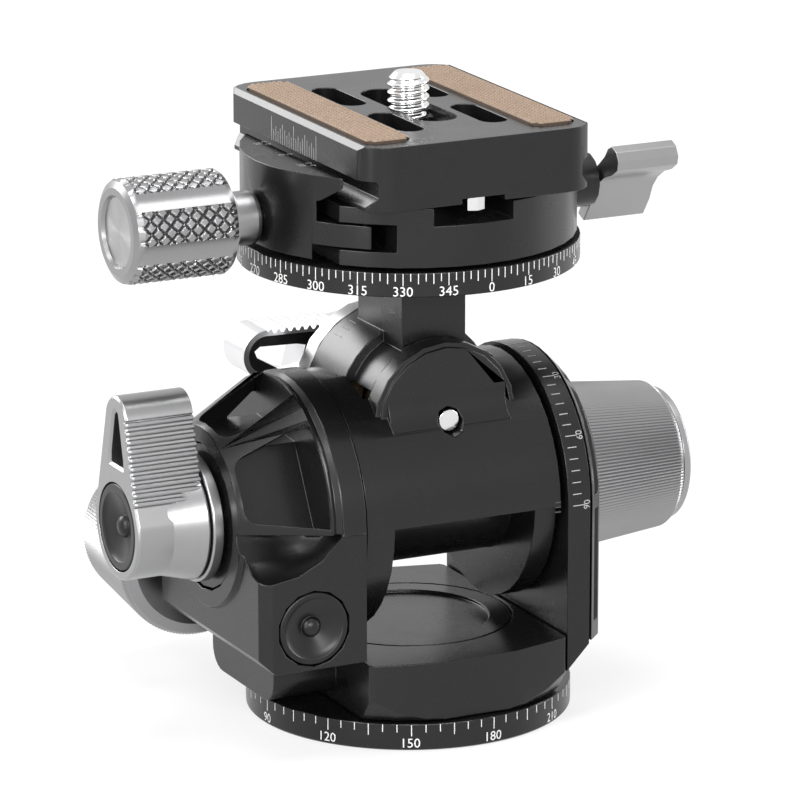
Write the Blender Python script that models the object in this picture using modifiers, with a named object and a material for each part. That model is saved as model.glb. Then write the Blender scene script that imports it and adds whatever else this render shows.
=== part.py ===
# Geared tripod head: a panning yoke, a barrel that tilts in it, a rotor that rolls in the barrel
# and a panning quick-release clamp on top, each geared axis driven by a worm and a wheel.
import math

import bmesh
import bpy
from mathutils import Matrix, Vector

# Every size is in metres. The origin is the centre of the base's underside, +Z is up,
# -Y is the front and +X is the side of the roll knob.

# Shared clearances
GAP = 0.0003
OVERRUN = 0.001

# Numbers of steps round a turned piece
FINE_STEPS = 36
ROUND_STEPS = 20
SMALL_STEPS = 14
TINY_STEPS = 8
ARC_STEPS = 16

# Gears: one module for both pairs, single-start worms
GEAR_MODULE = 0.0006
TILT_TEETH = 34
ROLL_TEETH = 36
TILT_WORM_PITCH_RADIUS = 0.0031
ROLL_WORM_PITCH_RADIUS = 0.0032
TILT_WHEEL_WIDTH = 0.006
ROLL_WHEEL_WIDTH = 0.004
ROLL_WHEEL_SHIFT = 0.0003
TOOTH_RISE_SHARE = 0.85
TOOTH_DROP_SHARE = 1.2
WHEEL_TOOTH_SHARE = 0.37
WORM_THREAD_SHARE = 0.30
TOOTH_TAPER_SHARE = 0.16
THREAD_TURNS = 4
THREAD_STEPS = 8

# Main axes
TILT_Z = 0.034
TILT_WORM_X = -0.0256

# Base
BASE_RADIUS = 0.025
BASE_HEIGHT = 0.0042
BASE_CHAMFER = 0.0005
BUSH_BORE_RADIUS = 0.0048
BUSH_WALL = 0.0012
BUSH_TOP = 0.0094
SPINDLE_RADIUS = 0.009
SPINDLE_TOP = 0.0112
SPINDLE_FLANGE_RADIUS = 0.013
SPINDLE_FLANGE_TOP = 0.002

# Yoke base
BARREL_ROOM = 0.0004
YOKE_FRONT = 0.0237
FACET_HALF_WIDTH = 0.0065
FACET_CORNER_X = 0.0161
FACET_CORNER_Y = 0.02125
CONE_FOOT_RADIUS = 0.0244
CONE_SLOPE_SHARE = 0.645
WEB_TOP = 0.0086
NUT_RADIUS = 0.012
NUT_HEIGHT = 0.0026
COVER_RADIUS = 0.0158
COVER_SEAT_Z = 0.0119
COVER_STEP_RADIUS = 0.01245
COVER_STEP_DEPTH = 0.0005
LEFT_BLOCK_X = -0.027
LEFT_BLOCK_FRONT = -0.009
LEFT_BLOCK_REAR = 0.0133
LEFT_BLOCK_FOOT = 0.0054
LEFT_BLOCK_ROUND = 0.0036

# Pan lock
LOCK_Z = 0.0066
LOCK_SCREW_RADIUS = 0.0013
LOCK_PAD_LENGTH = 0.002
LOCK_KNOB_RADIUS = 0.0055
LOCK_KNOB_ROOM = 0.0006
LOCK_KNOB_LENGTH = 0.0084
LOCK_KNOB_ROUND = 0.0008
LOCK_COLLAR_RADIUS = 0.002

# Arms
ARM_INNER_X = 0.0169
ARM_OUTER_X = 0.0207
ARM_RADIUS = 0.02045
ARM_FOOT = 0.0078
ARM_FOOT_RISE = 0.004
ARM_BEARING_RADIUS = 0.011
TRUNNION_RADIUS = 0.009
ARM_COVER_X = 0.0236
ARM_COVER_CHAMFER = 0.0026
ARM_COVER_FOOT = 0.0122
ARM_COVER_BORE = 0.004
POCKET_DEPTH = 0.0021
POCKET_MARGIN = 0.0009
POCKET_STARTS = (60, 3)
POCKET_ENDS = (66, 55)
POCKET_FOOT = 0.0028
POCKET_GAP = 0.0013

# Left arm: plate, cone hub and worm block
HUB_GROOVE_X = -0.0216
HUB_GROOVE_DEPTH = 0.0006
HUB_START_X = -0.0225
HUB_START_RADIUS = 0.02035
HUB_END_X = -0.0347
HUB_END_RADIUS = 0.01385
HUB_CAVITY_RADIUS = 0.0114
HUB_WALL = 0.0011
HUB_RING_LENGTH = 0.0034
WINDOW_ANGLES = (38, 94.5, 151)
WINDOW_NEAR_X = -0.0227
WINDOW_FAR_X = -0.0338
WINDOW_NEAR_HALF = 0.00835
WINDOW_FAR_HALF = 0.00455
WINDOW_CORNER = 0.0026
BLOCK_X = -0.034
BLOCK_REAR = 0.0165
BLOCK_TOP = 0.0282
BLOCK_FOOT = 0.0143
BLOCK_CORNER = 0.0016
BLOCK_EDGE = 0.002
SCOOP_TOP = 0.0346
SCOOP_X = -0.03258
SCOOP_Y = -0.0195
SCOOP_Z = 0.04256
SCOOP_RADIUS = 0.0073
SCOOP_SWING = 0.00706
WORM_BORE_RADIUS = 0.0041
WORM_CAP_RADIUS = 0.0056
WORM_CAP_LENGTH = 0.0027
WORM_CAP_RECESS_RADIUS = 0.0046
WORM_CAP_RECESS_DEPTH = 0.0013
WORM_CAP_DOME_RADIUS = 0.0016
WORM_BUSH_LENGTH = 0.003
WORM_BUSH_FLANGE_RADIUS = 0.006
WORM_BUSH_FLANGE_LENGTH = 0.0034

# Tilt shaft
TILT_SHAFT_RADIUS = 0.007
TILT_SHAFT_STUB_RADIUS = 0.004
TILT_SHAFT_START = -0.0130
TILT_SHAFT_SHOULDER = -0.0346
TILT_SHAFT_END = -0.0460

# Worm shafts
WORM_JOURNAL_RADIUS = 0.002
TILT_KNOB_NEAR = 0.0206
TILT_KNOB_LENGTH = 0.0200
ROLL_KNOB_NEAR = 0.0240
ROLL_KNOB_LENGTH = 0.0182
ROLL_SHAFT_RADIUS = 0.003
KNOB_START_RADIUS = 0.0131
KNOB_END_RADIUS = 0.0115
KNOB_CHAMFER = 0.0014
KNOB_RING_RADIUS = 0.0104
KNOB_RING_LENGTH = 0.0013
KNOB_GROOVE = 0.0006
KNOB_FLOOR = 0.005

# Levers
LEVER_HUB_RADIUS = 0.008
LEVER_TIP_RADIUS = 0.0038
LEVER_REACH = 0.0163
LEVER_BORE_RADIUS = 0.0043
LEVER_CAP_RADIUS = 0.0066
LEVER_CAP_DEPTH = 0.0022
LEVER_CAP_DISH = 0.0014
LEVER_CAP_RIM = 0.0014
LEVER_CAP_DOME_RADIUS = 0.0018
LEVER_HUB_END_RADIUS = 0.0094
LEVER_WINDOW_HALF = 0.0029
LEVER_WINDOW_FOOT = 0.0095
LEVER_WINDOW_TIP = 0.0178
LEVER_WINDOW_ROUND = 0.0006
LEVER_RIB_COUNT = 10
LEVER_RIB_DEPTH = 0.0005
LEVER_RIB_WIDTH = 0.0005
TILT_LEVER_INNER = -0.0372
TILT_LEVER_OUTER = -0.0485
LEVER_COLLAR_RADIUS = 0.0098
ROLL_LEVER_NEAR = 0.0170
ROLL_LEVER_FAR = 0.0250
ROLL_LEVER_LEAN = math.radians(16)

# Barrel
BARREL_RADIUS = 0.020
BARREL_LEFT = -0.0166
BARREL_RIGHT = 0.0159
NOTCH_LEFT = -0.0120
NOTCH_RIGHT = 0.0123
NOTCH_CORE_RADIUS = 0.0109
FLANGE_LOWER_RADIUS = 0.0184
BOSS_RADIUS = 0.01105
BOSS_FRONT = -0.0129
BOSS_STEP = -0.0125
BOSS_RING_RADIUS = 0.01183
BOSS_BACK = -0.0092
AXLE_RADIUS = 0.004
AXLE_NOSE_RADIUS = 0.0017
AXLE_NOSE_END = -0.0139
BOSS_HOLE_RADIUS = 0.0021
BOSS_FILLET = 0.008
BOSS_FILLET_WIDTH = 0.0098
REAR_CAP_LENGTH = 0.0034
REAR_FLAT_RADIUS = 0.0115

# Rotor and neck
ROTOR_RADIUS = 0.013
ROTOR_FRONT_RADIUS = 0.0115
ROTOR_HUB_RADIUS = 0.0085
ROTOR_FRONT = -0.0089
ROTOR_RIM_FRONT = -0.0025
ROTOR_REAR = 0.009
ROTOR_FULL_FROM = 0.0043
ROTOR_CUT_Z = 0.0525
NECK_HALF_WIDTH = 0.00535
NECK_FRONT = -0.0087
NECK_REAR = 0.0064

# Upper scale disc and clamp spindle, with heights over the roll axis
DISC_RADIUS = 0.02595
NECK_RISE = 0.02245
DISC_HEIGHT = 0.00375
DISC_BORE_RADIUS = 0.006
CLAMP_SPINDLE_RADIUS = 0.009
CLAMP_NUT_RADIUS = 0.0112
CLAMP_NUT_HEIGHT = 0.0026

# Clamp, with heights over its underside
CLAMP_RADIUS = 0.02545
CLAMP_SEAT = 0.0005
CLAMP_HEIGHT = 0.009
CLAMP_LEFT = -0.0194
CLAMP_COUNTERBORE = 0.0042
JAW_HEIGHT = 0.0131
LIP_X = 0.01705
LIP_HEIGHT = 0.00265
JAW_OPENING = 0.0019
JAW_INNER_X = -0.0216
JAW_LOW_X = -0.0220
JAW_FOOT = 0.0003
TONGUE_END_X = -0.0158
TONGUE_LOW = 0.0027
TONGUE_HIGH = 0.0062
TONGUE_SLOT_X = -0.0127
RECESS_LEFT = -0.0077
RECESS_RIGHT = 0.0050
RECESS_BACK = -0.0135
RECESS_DEPTH = 0.0027
CLAMP_KNOB_END = -0.0480
CLAMP_KNOB_START = -0.0310
CLAMP_KNOB_RADIUS = 0.0081
CLAMP_KNOB_FACE_RADIUS = 0.0055
CLAMP_KNOB_FACE_DEPTH = 0.0006
CLAMP_KNOB_CHAMFER = 0.0012
CLAMP_KNOB_FLOOR = 0.0036
CLAMP_SHAFT_RADIUS = 0.0037
CLAMP_COLLAR_RADIUS = 0.0048
CLAMP_COLLAR_WIDTH = 0.0008
CLAMP_SCREW_RADIUS = 0.0025
CLAMP_SCREW_END = -0.0155

# Pan lock lever of the clamp. The paddle's outline is given from the screw's axis as (y, z).
STUD_RADIUS = 0.0022
STUD_START = 0.0135
LEVER_ARM_START = 0.0257
LEVER_ARM_END = 0.0306
LEVER_ARM_RADIUS = 0.0042
PADDLE_START = 0.0309
PADDLE_END = 0.0414
PADDLE_FRONT = (
    (-0.0070, 0.0064), (-0.0085, 0.0057), (-0.0092, 0.0044), (-0.0089, 0.0030), (-0.0073, 0.0019),
    (-0.0050, 0.0011), (-0.0028, -0.0003), (-0.0012, -0.0021), (-0.0002, -0.0043), (0.0018, -0.0071),
)
PADDLE_BACK = (
    (0.0036, -0.0063), (0.0020, -0.0036), (0.0008, -0.0008), (-0.0008, 0.0013), (-0.0030, 0.0029),
    (-0.0048, 0.0044), (-0.0058, 0.0058),
)

# Quick plate, with heights over its underside
PLATE_HALF_WIDTH = 0.019
PLATE_HALF_LENGTH = 0.025
PLATE_HEIGHT = 0.00967
PLATE_FOOT_HALF_WIDTH = 0.0183
PLATE_WAIST_HALF_WIDTH = 0.01675
PLATE_FOOT = 0.00065
PLATE_WAIST = 0.0041
PLATE_WALL = 0.0045
PLATE_BEVEL = 0.0007
PLATE_CORNER = 0.0052
SLOT_HALF_LENGTH = 0.0121
SLOT_HALF_WIDTH = 0.0033
SIDE_SLOT_X = 0.0069
SIDE_SLOT_NEAR = 0.0029
SIDE_SLOT_FAR = 0.0165
SIDE_SLOT_HALF_WIDTH = 0.0021
HEAD_CHANNEL_HALF_WIDTH = 0.0062
HEAD_CHANNEL_HALF_LENGTH = 0.0185
HEAD_CHANNEL_DEPTH = 0.0046
STOP_GROOVE_HALF_WIDTH = 0.0035
STOP_GROOVE_DEPTH = 0.0008
STRIP_INNER = 0.0100
STRIP_OUTER = 0.0172
STRIP_HALF_LENGTH = 0.0217
STRIP_SINK = 0.0005
STRIP_RISE = 0.00055
STRIP_CORNER = 0.0024

# Stop screw in the plate's underside
STOP_X = -0.0006
STOP_Y = -0.0224
STOP_RADIUS = 0.002
STOP_DROP = 0.0014
STOP_SUNK = 0.003

# Camera screw, with heights over the plate's underside
SCREW_RADIUS = 0.0030
SCREW_NOSE_RADIUS = 0.0023
SCREW_HEAD_RADIUS = 0.0056
SCREW_HEAD_LOW = 0.0004
SCREW_HEAD_HEIGHT = 0.0018
SCREW_WASHER_HIGH = 0.0034
SCREW_REACH = 0.00513
SCREW_LEAD = 0.0008

# Values worked out from the sizes above
TILT_WHEEL_PITCH_RADIUS = GEAR_MODULE * TILT_TEETH / 2
ROLL_WHEEL_PITCH_RADIUS = GEAR_MODULE * ROLL_TEETH / 2
THREAD_LEAD = math.pi * GEAR_MODULE
TILT_WORM_Z = TILT_Z - TILT_WHEEL_PITCH_RADIUS - TILT_WORM_PITCH_RADIUS
ROLL_Z = TILT_Z + ROLL_WHEEL_PITCH_RADIUS + ROLL_WORM_PITCH_RADIUS
YOKE_TOP = TILT_Z - BARREL_RADIUS - BARREL_ROOM
LOCK_KNOB_START = BASE_RADIUS + LOCK_KNOB_ROOM
BLOCK_FRONT = -ARM_RADIUS
DISC_BOTTOM = ROLL_Z + NECK_RISE
DISC_TOP = DISC_BOTTOM + DISC_HEIGHT
CLAMP_BOTTOM = DISC_TOP + CLAMP_SEAT
CLAMP_TOP = CLAMP_BOTTOM + CLAMP_HEIGHT
CLAMP_COUNTERBORE_Z = CLAMP_BOTTOM + CLAMP_COUNTERBORE
JAW_TOP = CLAMP_BOTTOM + JAW_HEIGHT
LIP_FOOT_X = LIP_X + LIP_HEIGHT
TONGUE_LOW_Z = CLAMP_BOTTOM + TONGUE_LOW
TONGUE_HIGH_Z = CLAMP_BOTTOM + TONGUE_HIGH
CLAMP_SCREW_Z = (TONGUE_LOW_Z + TONGUE_HIGH_Z) / 2
PLATE_BOTTOM = CLAMP_TOP + GAP
PLATE_TOP = PLATE_BOTTOM + PLATE_HEIGHT
HEAD_CHANNEL_TOP = PLATE_BOTTOM + HEAD_CHANNEL_DEPTH
SCREW_HEAD_BOTTOM = PLATE_BOTTOM + SCREW_HEAD_LOW
SCREW_HEAD_TOP = SCREW_HEAD_BOTTOM + SCREW_HEAD_HEIGHT
SCREW_WASHER_TOP = PLATE_BOTTOM + SCREW_WASHER_HIGH
SCREW_TOP = PLATE_TOP + SCREW_REACH

# Where each joint's axis passes
PAN_AXIS = (0, 0, 0)
TILT_AXIS = (0, 0, TILT_Z)
ROLL_AXIS = (0, 0, ROLL_Z)
TILT_WORM_AXIS = (TILT_WORM_X, 0, TILT_WORM_Z)
LOCK_AXIS = (0, 0, LOCK_Z)
CLAMP_SCREW_AXIS = (0, 0, CLAMP_SCREW_Z)

# Materials: colour, roughness and metallic value
BLACK_ALUMINIUM = ("black_aluminium", (0.035, 0.036, 0.038), 0.45, 0.6)
SILVER_ALUMINIUM = ("silver_aluminium", (0.62, 0.62, 0.63), 0.35, 0.9)
STEEL = ("steel", (0.70, 0.70, 0.70), 0.25, 1.0)
BRASS = ("brass", (0.72, 0.56, 0.28), 0.35, 1.0)
BRONZE = ("bronze", (0.55, 0.38, 0.20), 0.40, 1.0)
TAN_RUBBER = ("tan_rubber", (0.40, 0.32, 0.25), 0.9, 0.0)

# How each axis letter turns a piece modelled along its own Z
TURNS = {
    "X": Matrix(((0, 0, 1), (1, 0, 0), (0, 1, 0))).to_4x4(),
    "Y": Matrix(((0, 1, 0), (0, 0, 1), (1, 0, 0))).to_4x4(),
    "Z": Matrix.Identity(4),
}


def new_collection(name):
    group = bpy.data.collections.new(name)
    bpy.context.scene.collection.children.link(group)
    return group


def clear_scene():
    for item in list(bpy.data.objects):
        bpy.data.objects.remove(item, do_unlink=True)


clear_scene()
PARTS = new_collection("geared_tripod_head")
CUTTERS = new_collection("cutters")


def material(kind):
    name, colour, roughness, metallic = kind
    found = bpy.data.materials.get(name)
    if found is not None:
        return found
    made = bpy.data.materials.new(name)
    made.use_nodes = True
    shader = made.node_tree.nodes["Principled BSDF"]
    shader.inputs["Base Color"].default_value = (*colour, 1)
    shader.inputs["Roughness"].default_value = roughness
    shader.inputs["Metallic"].default_value = metallic
    made.diffuse_color = (*colour, 1)
    return made


def add_object(name, data, axis="Z", centre=PAN_AXIS):
    item = bpy.data.objects.new(name, data)
    PARTS.objects.link(item)
    item.matrix_world = Matrix.Translation(Vector(centre)) @ TURNS[axis]
    return item


def outline_pair(point, axis):
    # Across Y an outline is given as (x, z), which its own frame holds the other way round
    return (point[1], point[0]) if axis == "Y" else point


def arc(centre, radius, start, end, steps):
    # Points along an arc, with angles in degrees from the outline's first axis
    points = []
    for index in range(steps + 1):
        angle = math.radians(start + (end - start) * index / steps)
        points.append((centre[0] + radius * math.cos(angle), centre[1] + radius * math.sin(angle)))
    return points


def rounded_box(low, high, radius, steps=5):
    corners = (
        ((high[0] - radius, high[1] - radius), 0),
        ((low[0] + radius, high[1] - radius), 90),
        ((low[0] + radius, low[1] + radius), 180),
        ((high[0] - radius, low[1] + radius), 270),
    )
    points = []
    for corner, start in corners:
        points += arc(corner, radius, start, start + 90, steps)
    return points


def slab(name, outline, axis, low, high, centre=PAN_AXIS):
    # A flat outline, extruded from low to high along the axis
    curve = bpy.data.curves.new(name, "CURVE")
    curve.dimensions = "2D"
    curve.fill_mode = "BOTH"
    curve.extrude = (high - low) / 2
    spline = curve.splines.new("POLY")
    spline.points.add(len(outline) - 1)
    for point, place in zip(spline.points, outline):
        point.co = (*outline_pair(place, axis), 0, 1)
    spline.use_cyclic_u = True
    source = bpy.data.objects.new(name + "_outline", curve)
    PARTS.objects.link(source)
    bpy.context.view_layer.update()
    evaluated = source.evaluated_get(bpy.context.evaluated_depsgraph_get())
    data = bpy.data.meshes.new_from_object(evaluated)
    bpy.data.objects.remove(source, do_unlink=True)
    bpy.data.curves.remove(curve)
    body = bmesh.new()
    body.from_mesh(data)
    bmesh.ops.remove_doubles(body, verts=body.verts, dist=OVERRUN / 1000)
    bmesh.ops.dissolve_limit(body, angle_limit=math.radians(0.1), verts=body.verts, edges=body.edges)
    bmesh.ops.translate(body, verts=body.verts, vec=(0, 0, (low + high) / 2))
    bmesh.ops.recalc_face_normals(body, faces=body.faces)
    body.to_mesh(data)
    body.free()
    data.name = name
    return add_object(name, data, axis, centre)


def turned(name, profile, axis="Z", centre=PAN_AXIS, steps=ROUND_STEPS):
    # A profile of (radius, place) points, turned about the axis; one that stands off the axis
    # all round is a ring. It runs down the outer side, so that its faces point out.
    touches_axis = min(radius for radius, _ in profile) == 0
    area = 0
    for (r0, z0), (r1, z1) in zip(profile, profile[1:] + profile[:1]):
        area += r0 * z1 - r1 * z0
    points = profile if area < 0 else profile[::-1]
    if touches_axis:
        first = max(range(len(points)), key=lambda index: (points[index][0] == 0, points[index][1]))
        points = points[first:] + points[:first]
    edges = [(index, index + 1) for index in range(len(points) - 1)]
    if not touches_axis:
        edges.append((len(points) - 1, 0))
    data = bpy.data.meshes.new(name)
    data.from_pydata([(radius, 0, place) for radius, place in points], edges, [])
    item = add_object(name, data, axis, centre)
    screw = item.modifiers.new("turn", "SCREW")
    screw.axis = "Z"
    screw.angle = math.tau
    screw.steps = steps
    screw.render_steps = steps
    screw.use_merge_vertices = True
    screw.merge_threshold = OVERRUN / 1000
    return item


def rod(name, radius, low, high, axis="Z", centre=PAN_AXIS, steps=ROUND_STEPS):
    return turned(name, [(0, high), (radius, high), (radius, low), (0, low)], axis, centre, steps)


def ring(name, outer, bore, low, high, axis="Z", centre=PAN_AXIS, steps=ROUND_STEPS):
    return turned(name, [(outer, high), (outer, low), (bore, low), (bore, high)], axis, centre, steps)


def block(name, low, high):
    size = [b - a for a, b in zip(low, high)]
    body = bmesh.new()
    bmesh.ops.create_cube(body, size=1)
    bmesh.ops.scale(body, verts=body.verts, vec=size)
    bmesh.ops.translate(body, verts=body.verts, vec=[(a + b) / 2 for a, b in zip(low, high)])
    data = bpy.data.meshes.new(name)
    body.to_mesh(data)
    body.free()
    return add_object(name, data)


def combine(target, tool, operation):
    PARTS.objects.unlink(tool)
    CUTTERS.objects.link(tool)
    tool.hide_render = True
    tool.display_type = "WIRE"
    place = tool.matrix_world.copy()
    tool.parent = target
    tool.matrix_parent_inverse = target.matrix_world.inverted()
    tool.matrix_world = place
    change = target.modifiers.new(tool.name, "BOOLEAN")
    change.operation = operation
    change.solver = "EXACT"
    change.object = tool
    return target


def cut(target, *tools):
    for tool in tools:
        combine(target, tool, "DIFFERENCE")
    return target


def join(target, *tools):
    for tool in tools:
        combine(target, tool, "UNION")
    return target


def keep_inside(target, tool):
    return combine(target, tool, "INTERSECT")


def finish(item, kind):
    item.data.materials.clear()
    item.data.materials.append(material(kind))
    return item


def axis_frame(name, centre):
    # An empty on a joint's axis, which carries the pieces that move about it
    empty = bpy.data.objects.new(name, None)
    PARTS.objects.link(empty)
    empty.location = centre
    return empty


def carry(parent, *items):
    bpy.context.view_layer.update()
    for item in items:
        item.parent = parent
        item.matrix_parent_inverse = parent.matrix_world.inverted()
    bpy.context.view_layer.update()


def worm(name, pitch_radius, journals, axis, centre, quarter_share):
    # A shaft with a single-start thread, swept by a screw and closed at both ends.
    # quarter_share moves the thread along by part of a lead, to meet its wheel's spaces.
    crest = pitch_radius + GEAR_MODULE * TOOTH_RISE_SHARE
    root = pitch_radius - GEAR_MODULE * TOOTH_DROP_SHARE
    sunk = root - GAP
    half = THREAD_LEAD * WORM_THREAD_SHARE / 2
    taper = THREAD_LEAD * TOOTH_TAPER_SHARE / 2
    start = -THREAD_LEAD * (THREAD_TURNS / 2 + quarter_share)
    section = [
        (crest, start - half + taper), (crest, start + half - taper),
        (sunk, start + half + taper), (sunk, start - half - taper),
    ]
    data = bpy.data.meshes.new(name + "_thread")
    edges = [(0, 1), (1, 2), (2, 3), (3, 0)]
    data.from_pydata([(radius, 0, place) for radius, place in section], edges, [])
    thread = add_object(name + "_thread", data, axis, centre)
    screw = thread.modifiers.new("sweep", "SCREW")
    screw.axis = "Z"
    screw.angle = math.tau
    screw.screw_offset = THREAD_LEAD
    screw.iterations = THREAD_TURNS
    screw.steps = THREAD_STEPS
    screw.render_steps = THREAD_STEPS
    bpy.context.view_layer.update()
    evaluated = thread.evaluated_get(bpy.context.evaluated_depsgraph_get())
    swept = bpy.data.meshes.new_from_object(evaluated)
    thread.modifiers.clear()
    body = bmesh.new()
    body.from_mesh(swept)
    bmesh.ops.remove_doubles(body, verts=body.verts, dist=OVERRUN / 1000)
    ends = [edge for edge in body.edges if edge.is_boundary]
    bmesh.ops.holes_fill(body, edges=ends, sides=0)
    bmesh.ops.recalc_face_normals(body, faces=body.faces)
    body.to_mesh(swept)
    body.free()
    thread.data = swept
    reach = THREAD_LEAD * (THREAD_TURNS / 2 + 1)
    low, high, end_radius = journals
    profile = [(0, high), (end_radius, high), (end_radius, reach), (root, reach)]
    profile += [(root, -reach), (WORM_JOURNAL_RADIUS, -reach), (WORM_JOURNAL_RADIUS, low), (0, low)]
    shaft = turned(name, profile, axis, centre, SMALL_STEPS)
    return join(shaft, thread)


def wheel(name, teeth, width, bore, axis, centre, place, space_angle, hand):
    # A helical wheel: its outline twists along the axis by the worm's lead angle
    pitch_radius = GEAR_MODULE * teeth / 2
    crest = pitch_radius + GEAR_MODULE * TOOTH_RISE_SHARE
    root = pitch_radius - GEAR_MODULE * TOOTH_DROP_SHARE
    pitch_angle = 360 / teeth
    half = pitch_angle * WHEEL_TOOTH_SHARE / 2
    taper = pitch_angle * TOOTH_TAPER_SHARE / 2
    outline = []
    for index in range(teeth):
        middle = space_angle + pitch_angle * (index + 0.5)
        outline += arc((0, 0), root, middle - half - taper, middle - half - taper, 1)[:1]
        outline += arc((0, 0), crest, middle - half + taper, middle - half + taper, 1)[:1]
        outline += arc((0, 0), crest, middle + half - taper, middle + half - taper, 1)[:1]
        outline += arc((0, 0), root, middle + half + taper, middle + half + taper, 1)[:1]
    item = slab(name, outline, "Z", -width / 2, width / 2)
    mount = Vector(centre) + TURNS[axis] @ Vector((0, 0, place))
    item.matrix_world = Matrix.Translation(mount) @ TURNS[axis]
    twist = item.modifiers.new("helix", "SIMPLE_DEFORM")
    twist.deform_method = "TWIST"
    twist.deform_axis = "Z"
    lead_angle_tangent = THREAD_LEAD / (math.tau * hand[1])
    twist.angle = hand[0] * width * lead_angle_tangent / pitch_radius
    shaft_hole = rod(name + "_bore", bore, -width, width)
    shaft_hole.matrix_world = item.matrix_world.copy()
    return cut(item, shaft_hole)


# Root body: base, spindle, bush and nut

def build_base():
    flange_room = SPINDLE_FLANGE_RADIUS + GAP
    disc = turned("base_disc", [
        (BASE_RADIUS, BASE_HEIGHT), (BASE_RADIUS, BASE_CHAMFER), (BASE_RADIUS - BASE_CHAMFER, 0),
        (flange_room, 0), (flange_room, SPINDLE_FLANGE_TOP + GAP),
        (SPINDLE_RADIUS + GAP, SPINDLE_FLANGE_TOP + GAP), (SPINDLE_RADIUS + GAP, BASE_HEIGHT),
    ], steps=FINE_STEPS)
    finish(disc, BLACK_ALUMINIUM)
    bush_radius = BUSH_BORE_RADIUS + BUSH_WALL
    spindle = turned("pan_spindle", [
        (0, SPINDLE_TOP), (SPINDLE_RADIUS, SPINDLE_TOP), (SPINDLE_RADIUS, SPINDLE_FLANGE_TOP),
        (SPINDLE_FLANGE_RADIUS, SPINDLE_FLANGE_TOP), (SPINDLE_FLANGE_RADIUS, GAP),
        (bush_radius + GAP, GAP), (bush_radius + GAP, BUSH_TOP + GAP), (0, BUSH_TOP + GAP),
    ])
    finish(spindle, STEEL)
    bush = ring("tripod_bush", bush_radius, BUSH_BORE_RADIUS, GAP, BUSH_TOP, steps=SMALL_STEPS)
    finish(bush, BRASS)
    nut_low = WEB_TOP + GAP
    nut = ring("pan_nut", NUT_RADIUS, SPINDLE_RADIUS + GAP, nut_low, nut_low + NUT_HEIGHT)
    finish(nut, STEEL)


# Yoke body: base, cover, arms and bearings

def build_yoke_base():
    side = ARM_INNER_X - GAP
    corner = (FACET_CORNER_X, FACET_CORNER_Y)
    half = [(side, 0), (side, ARM_RADIUS), corner, (FACET_HALF_WIDTH, YOKE_FRONT)]
    outline = half + [(-x, y) for x, y in reversed(half)]
    outline += [(-x, -y) for x, y in half[1:]] + [(x, -y) for x, y in reversed(half[1:])]
    foot = BASE_HEIGHT + GAP
    yoke = slab("yoke_base", outline, "Z", foot, YOKE_TOP)
    rise = (YOKE_TOP + OVERRUN - foot) * CONE_SLOPE_SHARE
    cone = turned("yoke_cone", [
        (0, YOKE_TOP + OVERRUN), (CONE_FOOT_RADIUS + rise, YOKE_TOP + OVERRUN),
        (CONE_FOOT_RADIUS, foot), (0, foot),
    ], steps=FINE_STEPS)
    keep_inside(yoke, cone)
    top = BLOCK_FOOT - GAP
    left_outline = arc(
        (LEFT_BLOCK_FRONT + LEFT_BLOCK_ROUND, LEFT_BLOCK_FOOT + LEFT_BLOCK_ROUND),
        LEFT_BLOCK_ROUND, 180, 270, 6)
    left_outline += arc(
        (LEFT_BLOCK_REAR - LEFT_BLOCK_ROUND, LEFT_BLOCK_FOOT + LEFT_BLOCK_ROUND),
        LEFT_BLOCK_ROUND, 270, 360, 6)
    left_outline += [(LEFT_BLOCK_REAR, top), (LEFT_BLOCK_FRONT, top)]
    join(yoke, slab("yoke_left_block", left_outline, "X", LEFT_BLOCK_X, -ARM_INNER_X + OVERRUN * 2))
    bore = SPINDLE_RADIUS + GAP
    nut_room = NUT_RADIUS + GAP
    hollow = turned("yoke_hollow", [
        (0, YOKE_TOP + OVERRUN), (COVER_RADIUS + GAP, YOKE_TOP + OVERRUN),
        (COVER_RADIUS + GAP, COVER_SEAT_Z), (nut_room, COVER_SEAT_Z), (nut_room, WEB_TOP),
        (bore, WEB_TOP), (bore, foot - OVERRUN), (0, foot - OVERRUN),
    ], steps=FINE_STEPS)
    lock_hole = rod("yoke_lock_hole", LOCK_SCREW_RADIUS + GAP, 0, YOKE_FRONT + OVERRUN,
                    "Y", LOCK_AXIS, TINY_STEPS)
    knob_room = rod("yoke_knob_room", KNOB_START_RADIUS + GAP * 2, TILT_KNOB_NEAR - GAP * 2,
                    YOKE_FRONT + OVERRUN, "Y", TILT_WORM_AXIS)
    cut(yoke, hollow, lock_hole, knob_room)
    finish(yoke, BLACK_ALUMINIUM)
    step = YOKE_TOP - COVER_STEP_DEPTH
    cover = turned("pan_cover", [
        (0, step), (COVER_STEP_RADIUS, step), (COVER_STEP_RADIUS, YOKE_TOP), (COVER_RADIUS, YOKE_TOP),
        (COVER_RADIUS, COVER_SEAT_Z + GAP), (0, COVER_SEAT_Z + GAP),
    ], steps=FINE_STEPS)
    finish(cover, BLACK_ALUMINIUM)
    pad_start = SPINDLE_RADIUS + GAP * 2
    pad = rod("pan_lock_pad", LOCK_SCREW_RADIUS, pad_start, pad_start + LOCK_PAD_LENGTH,
              "Y", LOCK_AXIS, TINY_STEPS)
    finish(pad, BRASS)
    return [yoke, cover, pad]


def arm_outline(radius, foot, steps=ARC_STEPS + ARC_STEPS // 2):
    # Half a circle over the tilt axis, with straight sides down to the foot
    return arc((0, TILT_Z), radius, 0, 180, steps) + [(-radius, foot), (radius, foot)]


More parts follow.
